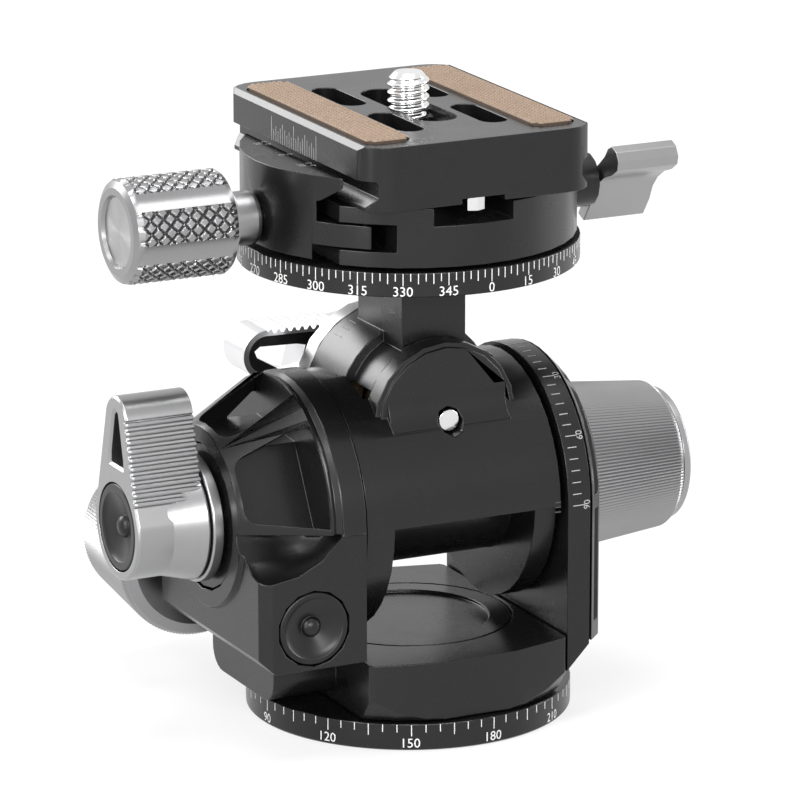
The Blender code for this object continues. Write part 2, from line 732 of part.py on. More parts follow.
def build_right_arm():
    arm = slab("right_arm", arm_outline(ARM_RADIUS, ARM_FOOT), "X", ARM_INNER_X, ARM_OUTER_X)
    wedge = slab("right_arm_wedge", [
        (ARM_INNER_X - OVERRUN, ARM_FOOT - OVERRUN),
        (ARM_OUTER_X + OVERRUN, ARM_FOOT - OVERRUN),
        (ARM_OUTER_X + OVERRUN, ARM_FOOT + ARM_FOOT_RISE + OVERRUN),
    ], "Y", -ARM_RADIUS - OVERRUN, ARM_RADIUS + OVERRUN)
    bearing = rod("right_arm_bore", ARM_BEARING_RADIUS + GAP, 0, ARM_COVER_X, "X", TILT_AXIS)
    cut(arm, wedge, bearing)
    finish(arm, BLACK_ALUMINIUM)
    bush = ring("right_bush", ARM_BEARING_RADIUS, TRUNNION_RADIUS + GAP,
                ARM_INNER_X + GAP, ARM_OUTER_X - GAP, "X", TILT_AXIS)
    finish(bush, BRONZE)
    near = ARM_OUTER_X + GAP
    cover = slab("right_arm_cover", arm_outline(ARM_RADIUS, ARM_COVER_FOOT), "X", near, ARM_COVER_X)
    chamfer = cover_chamfer(near)
    keep_inside(cover, chamfer)
    cut(cover, rod("right_cover_bore", ARM_COVER_BORE, 0, ARM_COVER_X + OVERRUN, "X", TILT_AXIS,
                   SMALL_STEPS), *cover_pockets())
    finish(cover, BLACK_ALUMINIUM)
    return [arm, bush, cover]


def cover_pockets():
    # Slots in the cover's sloping band: round ones over the axis and a straight one below it
    outer = ARM_RADIUS - POCKET_MARGIN
    inner = ARM_RADIUS - ARM_COVER_CHAMFER + POCKET_MARGIN / 2
    floor = ARM_COVER_X - POCKET_DEPTH
    pockets = []
    for side in (1, -1):
        for index, (start, end) in enumerate(zip(POCKET_STARTS, POCKET_ENDS)):
            points = arc((0, TILT_Z), outer, start, end, 5) + arc((0, TILT_Z), inner, end, start, 5)
            outline = [(y * side, z) for y, z in points]
            pockets.append(slab(f"cover_pocket_{side}_{index}", outline, "X", floor,
                                ARM_COVER_X + OVERRUN))
        low = (min(outer * side, inner * side), ARM_COVER_FOOT + POCKET_FOOT)
        high = (max(outer * side, inner * side), TILT_Z - POCKET_GAP)
        outline = [low, (high[0], low[1]), high, (low[0], high[1])]
        pockets.append(slab(f"cover_slot_{side}", outline, "X", floor, ARM_COVER_X + OVERRUN))
    return pockets


def cover_chamfer(near):
    # The cover's outer edge slopes in: its outline is drawn in towards the outer face
    data = bpy.data.meshes.new("cover_chamfer")
    body = bmesh.new()
    outer = arm_outline(ARM_RADIUS - ARM_COVER_CHAMFER, ARM_COVER_FOOT)
    inner = arm_outline(ARM_RADIUS, ARM_COVER_FOOT - OVERRUN)
    length = ARM_COVER_X - near
    near_loop = [body.verts.new((y, z, near)) for y, z in inner]
    far_loop = [body.verts.new((y, z, near + length)) for y, z in outer]
    body.faces.new(near_loop[::-1])
    body.faces.new(far_loop)
    for index in range(len(inner)):
        after = (index + 1) % len(inner)
        body.faces.new((near_loop[index], near_loop[after], far_loop[after], far_loop[index]))
    bmesh.ops.recalc_face_normals(body, faces=body.faces)
    body.to_mesh(data)
    body.free()
    return add_object("cover_chamfer", data, "X")


def hub_windows():
    # Windows in the cone hub, wide at the big end and with round corners at the small end
    near = WINDOW_NEAR_X
    far = WINDOW_FAR_X
    slope = (WINDOW_NEAR_HALF - WINDOW_FAR_HALF) / (near - far)
    side = WINDOW_FAR_HALF + WINDOW_CORNER * slope
    centre_t = side - WINDOW_CORNER
    corner = arc((far + WINDOW_CORNER, centre_t), WINDOW_CORNER, 100, 180, 5)
    half = [(near, WINDOW_NEAR_HALF)] + corner
    outline = half + [(x, -t) for x, t in reversed(half)]
    windows = []
    for angle in WINDOW_ANGLES:
        window = slab(f"left_arm_window_{angle}", outline, "Z", HUB_CAVITY_RADIUS + HUB_WALL,
                      ARM_RADIUS + OVERRUN)
        turn = Matrix.Rotation(math.radians(angle - 90), 4, "X")
        window.matrix_world = Matrix.Translation(TILT_AXIS) @ turn
        windows.append(window)
    return windows


def scoop():
    # The hollow between the hub and the worm's housing, turned about a line across the head
    profile = []
    for radius, place in arc((SCOOP_SWING, 0), SCOOP_RADIUS, 90, -90, 8):
        profile.append((radius, place))
    profile += [(0, -SCOOP_RADIUS), (0, SCOOP_RADIUS)]
    ball = turned("left_arm_scoop", profile, "Y", (SCOOP_X, SCOOP_Y, SCOOP_Z))
    limit = block("left_arm_scoop_limit", (HUB_END_X - OVERRUN, -ARM_RADIUS * 2, 0),
                  (0, 0, SCOOP_TOP))
    return keep_inside(ball, limit)


def build_left_arm():
    hub = turned("left_arm", [
        (0, -ARM_INNER_X), (ARM_RADIUS, -ARM_INNER_X), (ARM_RADIUS, -ARM_OUTER_X),
        (ARM_RADIUS - HUB_GROOVE_DEPTH, HUB_GROOVE_X), (HUB_START_RADIUS, HUB_START_X),
        (HUB_END_RADIUS, HUB_END_X), (0, HUB_END_X),
    ], "X", TILT_AXIS, FINE_STEPS)
    plate = slab("left_arm_plate", [
        (-ARM_RADIUS, TILT_Z), (-ARM_RADIUS, BLOCK_FOOT), (BLOCK_REAR, BLOCK_FOOT), (BLOCK_REAR, TILT_Z),
    ], "X", -ARM_OUTER_X, -ARM_INNER_X)
    corner = BLOCK_CORNER
    edge = BLOCK_EDGE
    front_outline = [
        (BLOCK_X + edge, BLOCK_FOOT), (-ARM_INNER_X, BLOCK_FOOT), (-ARM_INNER_X, SCOOP_TOP - GAP),
        (BLOCK_X, SCOOP_TOP - GAP), (BLOCK_X, BLOCK_FOOT + edge),
    ]
    housing = slab("left_arm_block", front_outline, "Y", BLOCK_FRONT, BLOCK_REAR)
    nick = slab("left_arm_nick", [
        (BLOCK_X - OVERRUN, BLOCK_FRONT - OVERRUN),
        (BLOCK_X + corner + OVERRUN, BLOCK_FRONT - OVERRUN),
        (BLOCK_X - OVERRUN, BLOCK_FRONT + corner + OVERRUN),
    ], "Z", BLOCK_FOOT - OVERRUN, SCOOP_TOP + OVERRUN)
    back_cut = block("left_arm_back_cut", (BLOCK_X - OVERRUN, 0, BLOCK_TOP),
                     (-ARM_INNER_X + OVERRUN, ARM_RADIUS, SCOOP_TOP + OVERRUN))
    cut(housing, nick, back_cut)
    join(hub, plate, housing)
    cut(hub, *hub_windows(), scoop())
    shaft_room = TILT_SHAFT_RADIUS + GAP
    cavity = turned("left_arm_cavity", [
        (0, -ARM_INNER_X + OVERRUN), (TRUNNION_RADIUS + GAP, -ARM_INNER_X + OVERRUN),
        (TRUNNION_RADIUS + GAP, -ARM_OUTER_X), (HUB_CAVITY_RADIUS, -ARM_OUTER_X),
        (HUB_CAVITY_RADIUS, HUB_END_X - OVERRUN), (0, HUB_END_X - OVERRUN),
    ], "X", TILT_AXIS)
    worm_room = turned("left_arm_worm_bore", [
        (0, BLOCK_REAR + OVERRUN), (WORM_BORE_RADIUS, BLOCK_REAR + OVERRUN),
        (WORM_BORE_RADIUS, BLOCK_FRONT + WORM_CAP_LENGTH + GAP),
        (WORM_CAP_RADIUS + GAP, BLOCK_FRONT + WORM_CAP_LENGTH + GAP),
        (WORM_CAP_RADIUS + GAP, BLOCK_FRONT - OVERRUN), (0, BLOCK_FRONT - OVERRUN),
    ], "Y", TILT_WORM_AXIS, SMALL_STEPS)
    flange_room = rod("left_arm_flange_room", WORM_BUSH_FLANGE_RADIUS + GAP, BLOCK_REAR,
                      ARM_RADIUS + OVERRUN, "Y", TILT_WORM_AXIS)
    foot_cut = block("left_arm_foot_cut", (HUB_END_X, -ARM_RADIUS, 0), (0, ARM_RADIUS, BLOCK_FOOT))
    cut(hub, cavity, worm_room, flange_room, foot_cut)
    finish(hub, BLACK_ALUMINIUM)
    left_bush = ring("left_bush", TRUNNION_RADIUS, shaft_room, -ARM_OUTER_X + GAP, -ARM_INNER_X - GAP,
                     "X", TILT_AXIS)
    finish(left_bush, BRONZE)
    ring_end = HUB_END_X + GAP
    hub_ring = ring("hub_ring", HUB_CAVITY_RADIUS - GAP, shaft_room, ring_end, ring_end + HUB_RING_LENGTH,
                    "X", TILT_AXIS)
    finish(hub_ring, BLACK_ALUMINIUM)
    return [hub, left_bush, hub_ring] + build_worm_bearings()


def build_worm_bearings():
    floor = BLOCK_FRONT + WORM_CAP_RECESS_DEPTH
    back = BLOCK_FRONT + WORM_CAP_LENGTH
    dome = WORM_CAP_DOME_RADIUS
    cap = turned("worm_end_cap", [
        (0, back), (WORM_CAP_RADIUS, back), (WORM_CAP_RADIUS, BLOCK_FRONT),
        (WORM_CAP_RECESS_RADIUS, BLOCK_FRONT), (dome, floor),
        (dome * math.cos(math.radians(45)), (floor + BLOCK_FRONT) / 2), (0, BLOCK_FRONT + GAP),
    ], "Y", TILT_WORM_AXIS, SMALL_STEPS)
    finish(cap, BLACK_ALUMINIUM)
    outer = WORM_BORE_RADIUS - GAP
    bore = WORM_JOURNAL_RADIUS + GAP
    near = back + GAP
    front = ring("worm_bush_front", outer, bore, near, near + WORM_BUSH_LENGTH, "Y", TILT_WORM_AXIS,
                 SMALL_STEPS)
    finish(front, BRONZE)
    seat = BLOCK_REAR + GAP
    rear = turned("worm_bush_rear", [
        (WORM_BUSH_FLANGE_RADIUS, seat + WORM_BUSH_FLANGE_LENGTH), (WORM_BUSH_FLANGE_RADIUS, seat),
        (outer, seat), (outer, seat - WORM_BUSH_LENGTH), (bore, seat - WORM_BUSH_LENGTH),
        (bore, seat + WORM_BUSH_FLANGE_LENGTH),
    ], "Y", TILT_WORM_AXIS, SMALL_STEPS)
    finish(rear, BLACK_ALUMINIUM)
    return [cap, front, rear]


def build_pan_lock():
    start = SPINDLE_RADIUS + GAP * 3 + LOCK_PAD_LENGTH
    collar = YOKE_FRONT + GAP
    far = LOCK_KNOB_START + LOCK_KNOB_LENGTH
    rim = LOCK_KNOB_RADIUS
    soft = LOCK_KNOB_ROUND
    knob = turned("pan_lock_knob", [
        (0, far), (rim - soft, far), (rim, far - soft), (rim, LOCK_KNOB_START + soft),
        (rim - soft, LOCK_KNOB_START), (LOCK_COLLAR_RADIUS, LOCK_KNOB_START),
        (LOCK_COLLAR_RADIUS, collar), (LOCK_SCREW_RADIUS, collar), (LOCK_SCREW_RADIUS, start), (0, start),
    ], "Y", LOCK_AXIS, SMALL_STEPS)
    return [finish(knob, BLACK_ALUMINIUM)]


# Knobs of the two worm shafts

def knob_profile(near, length, bore):
    # A knob that narrows outwards, with a groove before its end ring
    far = near + length
    groove = KNOB_GROOVE
    return [
        (0, far), (KNOB_END_RADIUS - groove, far), (KNOB_END_RADIUS, far - groove),
        (KNOB_START_RADIUS, near + KNOB_CHAMFER), (KNOB_START_RADIUS - KNOB_CHAMFER, near),
        (bore, near), (bore, far - KNOB_FLOOR), (0, far - KNOB_FLOOR),
    ]


def build_tilt_worm():
    far = TILT_KNOB_NEAR + TILT_KNOB_LENGTH - KNOB_FLOOR
    low = BLOCK_FRONT + WORM_CAP_LENGTH + GAP * 2
    screw = worm("tilt_worm", TILT_WORM_PITCH_RADIUS, (low, far - GAP, WORM_JOURNAL_RADIUS),
                 "Y", TILT_WORM_AXIS, 0)
    finish(screw, STEEL)
    knob = turned("tilt_knob", knob_profile(TILT_KNOB_NEAR, TILT_KNOB_LENGTH, WORM_JOURNAL_RADIUS + GAP),
                  "Y", TILT_WORM_AXIS, FINE_STEPS)
    finish(knob, SILVER_ALUMINIUM)
    end = TILT_KNOB_NEAR + TILT_KNOB_LENGTH + GAP
    cap = rod("tilt_knob_ring", KNOB_RING_RADIUS, end, end + KNOB_RING_LENGTH, "Y", TILT_WORM_AXIS)
    finish(cap, SILVER_ALUMINIUM)
    return [screw, knob, cap]


def build_roll_worm():
    far = ROLL_KNOB_NEAR + ROLL_KNOB_LENGTH - KNOB_FLOOR
    low = NOTCH_LEFT + OVERRUN
    screw = worm("roll_worm", ROLL_WORM_PITCH_RADIUS, (low, far - GAP, ROLL_SHAFT_RADIUS),
                 "X", TILT_AXIS, 1 / 4)
    finish(screw, STEEL)
    knob = turned("roll_knob", knob_profile(ROLL_KNOB_NEAR, ROLL_KNOB_LENGTH, ROLL_SHAFT_RADIUS + GAP),
                  "X", TILT_AXIS, FINE_STEPS)
    finish(knob, SILVER_ALUMINIUM)
    end = ROLL_KNOB_NEAR + ROLL_KNOB_LENGTH + GAP
    cap = rod("roll_knob_ring", KNOB_RING_RADIUS, end, end + KNOB_RING_LENGTH, "X", TILT_AXIS)
    finish(cap, SILVER_ALUMINIUM)
    return [screw, knob, cap]


# Quick-release levers

def teardrop(hub, tip, reach, steps=8):
    # The outline round two circles, pointing along the second axis
    lean = math.degrees(math.asin((hub - tip) / reach))
    return arc((0, reach), tip, lean, 180 - lean, steps) + arc((0, 0), hub, 180 - lean, 360 + lean, steps * 2)


def lever(name, near, far, outer_side, turn):
    # A box-section lever with a window, a bored hub and grip grooves on one flank.
    # near and far are its faces along its own Z; outer_side is the face with the cap.
    item = slab(name, teardrop(LEVER_HUB_RADIUS, LEVER_TIP_RADIUS, LEVER_REACH), "Z", near, far)
    window = slab(name + "_window", [
        (-LEVER_WINDOW_HALF, LEVER_WINDOW_FOOT), (LEVER_WINDOW_HALF, LEVER_WINDOW_FOOT),
        (LEVER_WINDOW_ROUND, LEVER_WINDOW_TIP), (-LEVER_WINDOW_ROUND, LEVER_WINDOW_TIP),
    ], "Z", near - OVERRUN, far + OVERRUN)
    inner_side = near if outer_side == far else far
    inward = 1 if inner_side > outer_side else -1
    join(item, turned(name + "_hub", [
        (0, outer_side), (LEVER_HUB_RADIUS, outer_side), (LEVER_HUB_END_RADIUS, inner_side),
        (0, inner_side),
    ], steps=ROUND_STEPS))
    floor = outer_side + inward * (LEVER_CAP_DEPTH + GAP)
    stop = floor - inward * OVERRUN
    bore = rod(name + "_bore", LEVER_BORE_RADIUS, min(stop, inner_side + inward * OVERRUN),
               max(stop, inner_side + inward * OVERRUN), steps=SMALL_STEPS)
    seat = rod(name + "_seat", LEVER_CAP_RADIUS + GAP, min(outer_side - inward * OVERRUN, floor),
               max(outer_side - inward * OVERRUN, floor), steps=SMALL_STEPS)
    cut(item, window, bore, seat)
    lean = math.asin((LEVER_HUB_RADIUS - LEVER_TIP_RADIUS) / LEVER_REACH)
    normal = Vector((math.cos(lean), math.sin(lean)))
    along = Vector((-normal.y, normal.x))
    foot = normal * LEVER_HUB_RADIUS
    span = math.sqrt(LEVER_REACH ** 2 - (LEVER_HUB_RADIUS - LEVER_TIP_RADIUS) ** 2)
    for index in range(LEVER_RIB_COUNT):
        spot = foot + along * span * (index + 1) / (LEVER_RIB_COUNT + 1)
        a = spot - along * LEVER_RIB_WIDTH / 2 + normal * OVERRUN
        b = spot + along * LEVER_RIB_WIDTH / 2 + normal * OVERRUN
        c = spot - normal * LEVER_RIB_DEPTH
        groove = slab(f"{name}_groove_{index}", [tuple(a), tuple(b), tuple(c)], "Z",
                      near - OVERRUN, far + OVERRUN)
        cut(item, groove)
    cap_low = min(outer_side, outer_side + inward * LEVER_CAP_DEPTH)
    cap_high = max(outer_side, outer_side + inward * LEVER_CAP_DEPTH)
    dish = outer_side + inward * LEVER_CAP_DISH
    back = cap_low + cap_high - outer_side
    dome = LEVER_CAP_DOME_RADIUS
    profile = [
        (0, outer_side + inward * GAP), (dome * math.cos(math.radians(45)), (outer_side + dish) / 2),
        (dome, dish), (LEVER_CAP_RADIUS - LEVER_CAP_RIM, outer_side), (LEVER_CAP_RADIUS, outer_side),
        (LEVER_CAP_RADIUS, back), (0, back),
    ]
    cap = turned(name + "_cap", profile, steps=SMALL_STEPS)
    for piece in (item, cap):
        piece.matrix_world = turn
    finish(item, SILVER_ALUMINIUM)
    finish(cap, BLACK_ALUMINIUM)
    return [item, cap]


def build_tilt_lever():
    place = Matrix.Translation(TILT_AXIS) @ TURNS["X"]
    pieces = lever("tilt_lever", TILT_LEVER_OUTER, TILT_LEVER_INNER, TILT_LEVER_OUTER, place)
    collar_start = HUB_END_X - GAP
    collar = ring("tilt_lever_collar", LEVER_COLLAR_RADIUS, TILT_SHAFT_STUB_RADIUS + GAP,
                  TILT_LEVER_INNER + GAP, collar_start, "X", TILT_AXIS, SMALL_STEPS)
    finish(collar, SILVER_ALUMINIUM)
    return pieces + [collar]


def build_roll_lever():
    turn = Matrix.Rotation(math.pi + ROLL_LEVER_LEAN, 4, "Z")
    place = Matrix.Translation(ROLL_AXIS) @ TURNS["Y"] @ turn
    return lever("roll_lever", ROLL_LEVER_NEAR, ROLL_LEVER_FAR, ROLL_LEVER_FAR, place)


# Tilt body: barrel, shaft, wheel, roll axle and rear cap

def saddle_outline(radius):
    # A round bed for the rotor, open at the top
    top = ROLL_Z + ROTOR_RADIUS * 2
    return arc((0, ROLL_Z), radius, 180, 360, ARC_STEPS) + [(radius, top), (-radius, top)]


def boss_fillet():
    # Fills the corner between the boss's flat front and the round barrel with a hollow curve
    reach = BARREL_RADIUS + BOSS_FILLET
    across = -BOSS_FRONT + BOSS_FILLET
    rise = math.sqrt(reach ** 2 - across ** 2)
    lean = math.degrees(math.atan2(rise, across))
    outline = arc((-across, TILT_Z + rise), BOSS_FILLET, 0, -lean, 5)
    outline += [(BOSS_FRONT + OVERRUN, outline[-1][1] - OVERRUN), (BOSS_FRONT + OVERRUN, outline[0][1])]
    return slab("barrel_boss_fillet", outline, "X", -BOSS_FILLET_WIDTH, BOSS_FILLET_WIDTH)


def build_barrel():
    barrel = rod("barrel", BARREL_RADIUS, BARREL_LEFT, BARREL_RIGHT, "X", TILT_AXIS, FINE_STEPS)
    trunnion = rod("barrel_trunnion", TRUNNION_RADIUS, 0, ARM_OUTER_X - GAP, "X", TILT_AXIS)
    notch = slab("barrel_notch", arc((0, TILT_Z), BARREL_RADIUS + OVERRUN * 2, 180, 360, ARC_STEPS)
                 + arc((0, TILT_Z), NOTCH_CORE_RADIUS, 360, 180, ARC_STEPS), "X", NOTCH_LEFT, NOTCH_RIGHT)
    rim = slab("barrel_rim", arc((0, TILT_Z), BARREL_RADIUS + OVERRUN * 2, 180, 360, ARC_STEPS)
               + arc((0, TILT_Z), FLANGE_LOWER_RADIUS, 360, 180, ARC_STEPS), "X", 0, BARREL_RIGHT + OVERRUN)
    cut(barrel, notch, rim)
    boss = turned("barrel_boss", [
        (0, BOSS_BACK + OVERRUN), (BOSS_RING_RADIUS, BOSS_BACK + OVERRUN), (BOSS_RING_RADIUS, BOSS_STEP),
        (BOSS_RADIUS, BOSS_STEP), (BOSS_RADIUS, BOSS_FRONT), (0, BOSS_FRONT),
    ], "Y", ROLL_AXIS)
    join(barrel, trunnion, boss, boss_fillet())
    rear = ROTOR_REAR + GAP
    saddle = slab("barrel_saddle", saddle_outline(ROTOR_RADIUS + GAP), "Y",
                  ROTOR_RIM_FRONT - GAP, BARREL_RADIUS)
    opening = slab("barrel_wheel_room", saddle_outline(ROTOR_FRONT_RADIUS + GAP * 2), "Y",
                   BOSS_BACK, ROTOR_RIM_FRONT)
    crest = ROLL_WORM_PITCH_RADIUS + GEAR_MODULE * TOOTH_RISE_SHARE
    worm_room = turned("barrel_worm_bore", [
        (0, ARM_COVER_X), (ROLL_SHAFT_RADIUS + GAP, ARM_COVER_X),
        (ROLL_SHAFT_RADIUS + GAP, BARREL_RIGHT), (crest + GAP, BARREL_RIGHT),
        (crest + GAP, NOTCH_LEFT), (0, NOTCH_LEFT),
    ], "X", TILT_AXIS, SMALL_STEPS)
    socket = rod("barrel_socket", TILT_SHAFT_RADIUS + GAP, BARREL_LEFT - OVERRUN,
                 TILT_SHAFT_START + GAP, "X", TILT_AXIS)
    nose = rod("barrel_nose_hole", BOSS_HOLE_RADIUS, -BARREL_RADIUS, BOSS_BACK + OVERRUN,
               "Y", ROLL_AXIS, TINY_STEPS)
    rear_flat = rod("barrel_rear_flat", REAR_FLAT_RADIUS, ROLL_LEVER_NEAR - GAP, BARREL_RADIUS + OVERRUN,
                    "Y", ROLL_AXIS)
    cut(barrel, saddle, opening, worm_room, socket, nose, rear_flat)
    finish(barrel, BLACK_ALUMINIUM)
    cap_far = rear + REAR_CAP_LENGTH
    cap = ring("roll_rear_cap", ROTOR_RADIUS, AXLE_RADIUS + GAP, rear, cap_far, "Y", ROLL_AXIS)
    finish(cap, SILVER_ALUMINIUM)
    axle_end = ROLL_LEVER_FAR - LEVER_CAP_DEPTH - GAP * 2
    axle = turned("roll_axle", [
        (0, axle_end), (AXLE_RADIUS, axle_end), (AXLE_RADIUS, BOSS_BACK + GAP),
        (AXLE_NOSE_RADIUS, BOSS_BACK + GAP), (AXLE_NOSE_RADIUS, AXLE_NOSE_END), (0, AXLE_NOSE_END),
    ], "Y", ROLL_AXIS, SMALL_STEPS)
    finish(axle, STEEL)
    shaft = turned("tilt_shaft", [
        (0, TILT_SHAFT_START), (TILT_SHAFT_RADIUS, TILT_SHAFT_START),
        (TILT_SHAFT_RADIUS, TILT_SHAFT_SHOULDER), (TILT_SHAFT_STUB_RADIUS, TILT_SHAFT_SHOULDER),
        (TILT_SHAFT_STUB_RADIUS, TILT_SHAFT_END), (0, TILT_SHAFT_END),
    ], "X", TILT_AXIS)
    finish(shaft, STEEL)
    gear = wheel("tilt_wheel", TILT_TEETH, TILT_WHEEL_WIDTH, TILT_SHAFT_RADIUS + GAP, "X", TILT_AXIS,
                 TILT_WORM_X, -90, (-1, TILT_WORM_PITCH_RADIUS))
    finish(gear, BRONZE)
    return [barrel, cap, axle, shaft, gear]


# Roll body: rotor with its neck, wheel, scale disc and clamp spindle

def build_rotor():
    bore = AXLE_RADIUS + GAP
    rotor = turned("roll_rotor", [
        (ROTOR_RADIUS, ROTOR_REAR), (ROTOR_RADIUS, ROTOR_RIM_FRONT), (ROTOR_FRONT_RADIUS, ROTOR_RIM_FRONT),
        (ROTOR_FRONT_RADIUS, ROTOR_FRONT), (bore, ROTOR_FRONT), (bore, ROTOR_REAR),
    ], "Y", ROLL_AXIS, FINE_STEPS)
    neck = block("rotor_neck", (-NECK_HALF_WIDTH, NECK_FRONT, ROTOR_CUT_Z),
                 (NECK_HALF_WIDTH, NECK_REAR, DISC_BOTTOM - GAP))
    join(rotor, neck)
    lower = block("rotor_lower", (-BARREL_RADIUS, ROTOR_FRONT - OVERRUN, ROLL_Z - BARREL_RADIUS),
                  (BARREL_RADIUS, ROTOR_FULL_FROM, ROTOR_CUT_Z))
    cut(rotor, lower)
    hub = ring("rotor_hub", ROTOR_HUB_RADIUS, bore, ROTOR_FRONT, ROTOR_FULL_FROM + OVERRUN, "Y", ROLL_AXIS)
    join(rotor, hub)
    wheel_half = ROLL_WHEEL_WIDTH / 2 + GAP
    gear_radius = ROLL_WHEEL_PITCH_RADIUS + GEAR_MODULE * TOOTH_RISE_SHARE + GAP
    seat = ring("rotor_wheel_room", gear_radius, ROTOR_HUB_RADIUS, ROLL_WHEEL_SHIFT - wheel_half,
                ROLL_WHEEL_SHIFT + wheel_half, "Y", ROLL_AXIS)
    cut(rotor, seat)
    finish(rotor, BLACK_ALUMINIUM)
    gear = wheel("roll_wheel", ROLL_TEETH, ROLL_WHEEL_WIDTH, ROTOR_HUB_RADIUS + GAP, "Y", ROLL_AXIS,
                 ROLL_WHEEL_SHIFT, 180, (-1, ROLL_WORM_PITCH_RADIUS))
    finish(gear, BRONZE)
    disc = ring("upper_disc", DISC_RADIUS, DISC_BORE_RADIUS + GAP, DISC_BOTTOM, DISC_TOP, steps=FINE_STEPS)
    finish(disc, BLACK_ALUMINIUM)
    seat_z = DISC_TOP + GAP
    spindle_top = CLAMP_COUNTERBORE_Z + GAP + CLAMP_NUT_HEIGHT
    spindle = turned("clamp_spindle", [
        (0, spindle_top), (CLAMP_SPINDLE_RADIUS, spindle_top), (CLAMP_SPINDLE_RADIUS, seat_z),
        (DISC_BORE_RADIUS, seat_z), (DISC_BORE_RADIUS, DISC_BOTTOM), (0, DISC_BOTTOM),
    ])
    finish(spindle, STEEL)
    nut_low = CLAMP_COUNTERBORE_Z + GAP
    nut = ring("clamp_nut", CLAMP_NUT_RADIUS, CLAMP_SPINDLE_RADIUS + GAP, nut_low, nut_low + CLAMP_NUT_HEIGHT)
    finish(nut, STEEL)
    return [rotor, gear, disc, spindle, nut]


# Clamp: body with the fixed jaw, sliding jaw, knob and lock lever

def jaw_lip(side):
    # The dovetail side of a jaw, from its foot on the clamp to its top, as (x, z) points
    points = [(LIP_FOOT_X, CLAMP_TOP), (LIP_X, CLAMP_TOP + LIP_HEIGHT), (LIP_X, JAW_TOP)]
    return [(x * side, z) for x, z in points]


def build_clamp():
    bore = CLAMP_SPINDLE_RADIUS + GAP
    nut_room = CLAMP_NUT_RADIUS + GAP
    body = turned("clamp_body", [
        (CLAMP_RADIUS, JAW_TOP), (CLAMP_RADIUS, CLAMP_BOTTOM), (bore, CLAMP_BOTTOM),
        (bore, CLAMP_COUNTERBORE_Z), (nut_room, CLAMP_COUNTERBORE_Z), (nut_room, JAW_TOP),
    ], steps=FINE_STEPS)
    reach = CLAMP_RADIUS + OVERRUN
    channel_outline = jaw_lip(1) + [(LIP_X, JAW_TOP + OVERRUN), (-reach, JAW_TOP + OVERRUN),
                                    (-reach, CLAMP_TOP)]
    channel = slab("clamp_channel", channel_outline, "Y", -reach, reach)
    left = block("clamp_left_cut", (-reach, -reach, CLAMP_BOTTOM - OVERRUN),
                 (CLAMP_LEFT, reach, JAW_TOP + OVERRUN))
    slot = block("clamp_tongue_slot", (-reach, -reach, TONGUE_LOW_Z - GAP),
                 (TONGUE_SLOT_X, reach, TONGUE_HIGH_Z + GAP))
    recess = block("clamp_recess", (RECESS_LEFT, -reach, CLAMP_TOP - RECESS_DEPTH),
                   (RECESS_RIGHT, RECESS_BACK, JAW_TOP + OVERRUN))
    stud_hole = rod("clamp_stud_hole", STUD_RADIUS + GAP, STUD_START - OVERRUN, reach,
                    "X", CLAMP_SCREW_AXIS, TINY_STEPS)
    screw_hole = rod("clamp_screw_hole", CLAMP_SCREW_RADIUS + GAP, -reach,
                     CLAMP_SCREW_END + JAW_OPENING, "X", CLAMP_SCREW_AXIS, SMALL_STEPS)
    cut(body, channel, left, slot, recess, stud_hole, screw_hole)
    finish(body, BLACK_ALUMINIUM)
    return [body]


def build_jaw():
    reach = CLAMP_RADIUS
    foot = CLAMP_BOTTOM + JAW_FOOT
    over = CLAMP_TOP + GAP
    lip = [(x - JAW_OPENING, z) for x, z in jaw_lip(-1)]
    outline = [
        (-reach - OVERRUN, foot), (JAW_LOW_X, foot), (JAW_LOW_X, TONGUE_LOW_Z),
        (TONGUE_END_X, TONGUE_LOW_Z), (TONGUE_END_X, TONGUE_HIGH_Z), (JAW_INNER_X, TONGUE_HIGH_Z),
        (JAW_INNER_X, over), (lip[0][0] + GAP, over),
    ] + lip[1:] + [(-reach - OVERRUN, JAW_TOP)]
    jaw = slab("clamp_jaw", outline, "Y", -reach, reach)
    keep_inside(jaw, rod("jaw_round", CLAMP_RADIUS, foot - OVERRUN, JAW_TOP + OVERRUN, steps=FINE_STEPS))
    cut(jaw, rod("jaw_screw_hole", CLAMP_SCREW_RADIUS + GAP, -reach - OVERRUN, 0, "X", CLAMP_SCREW_AXIS,
                 SMALL_STEPS))
    finish(jaw, BLACK_ALUMINIUM)
    return [jaw]


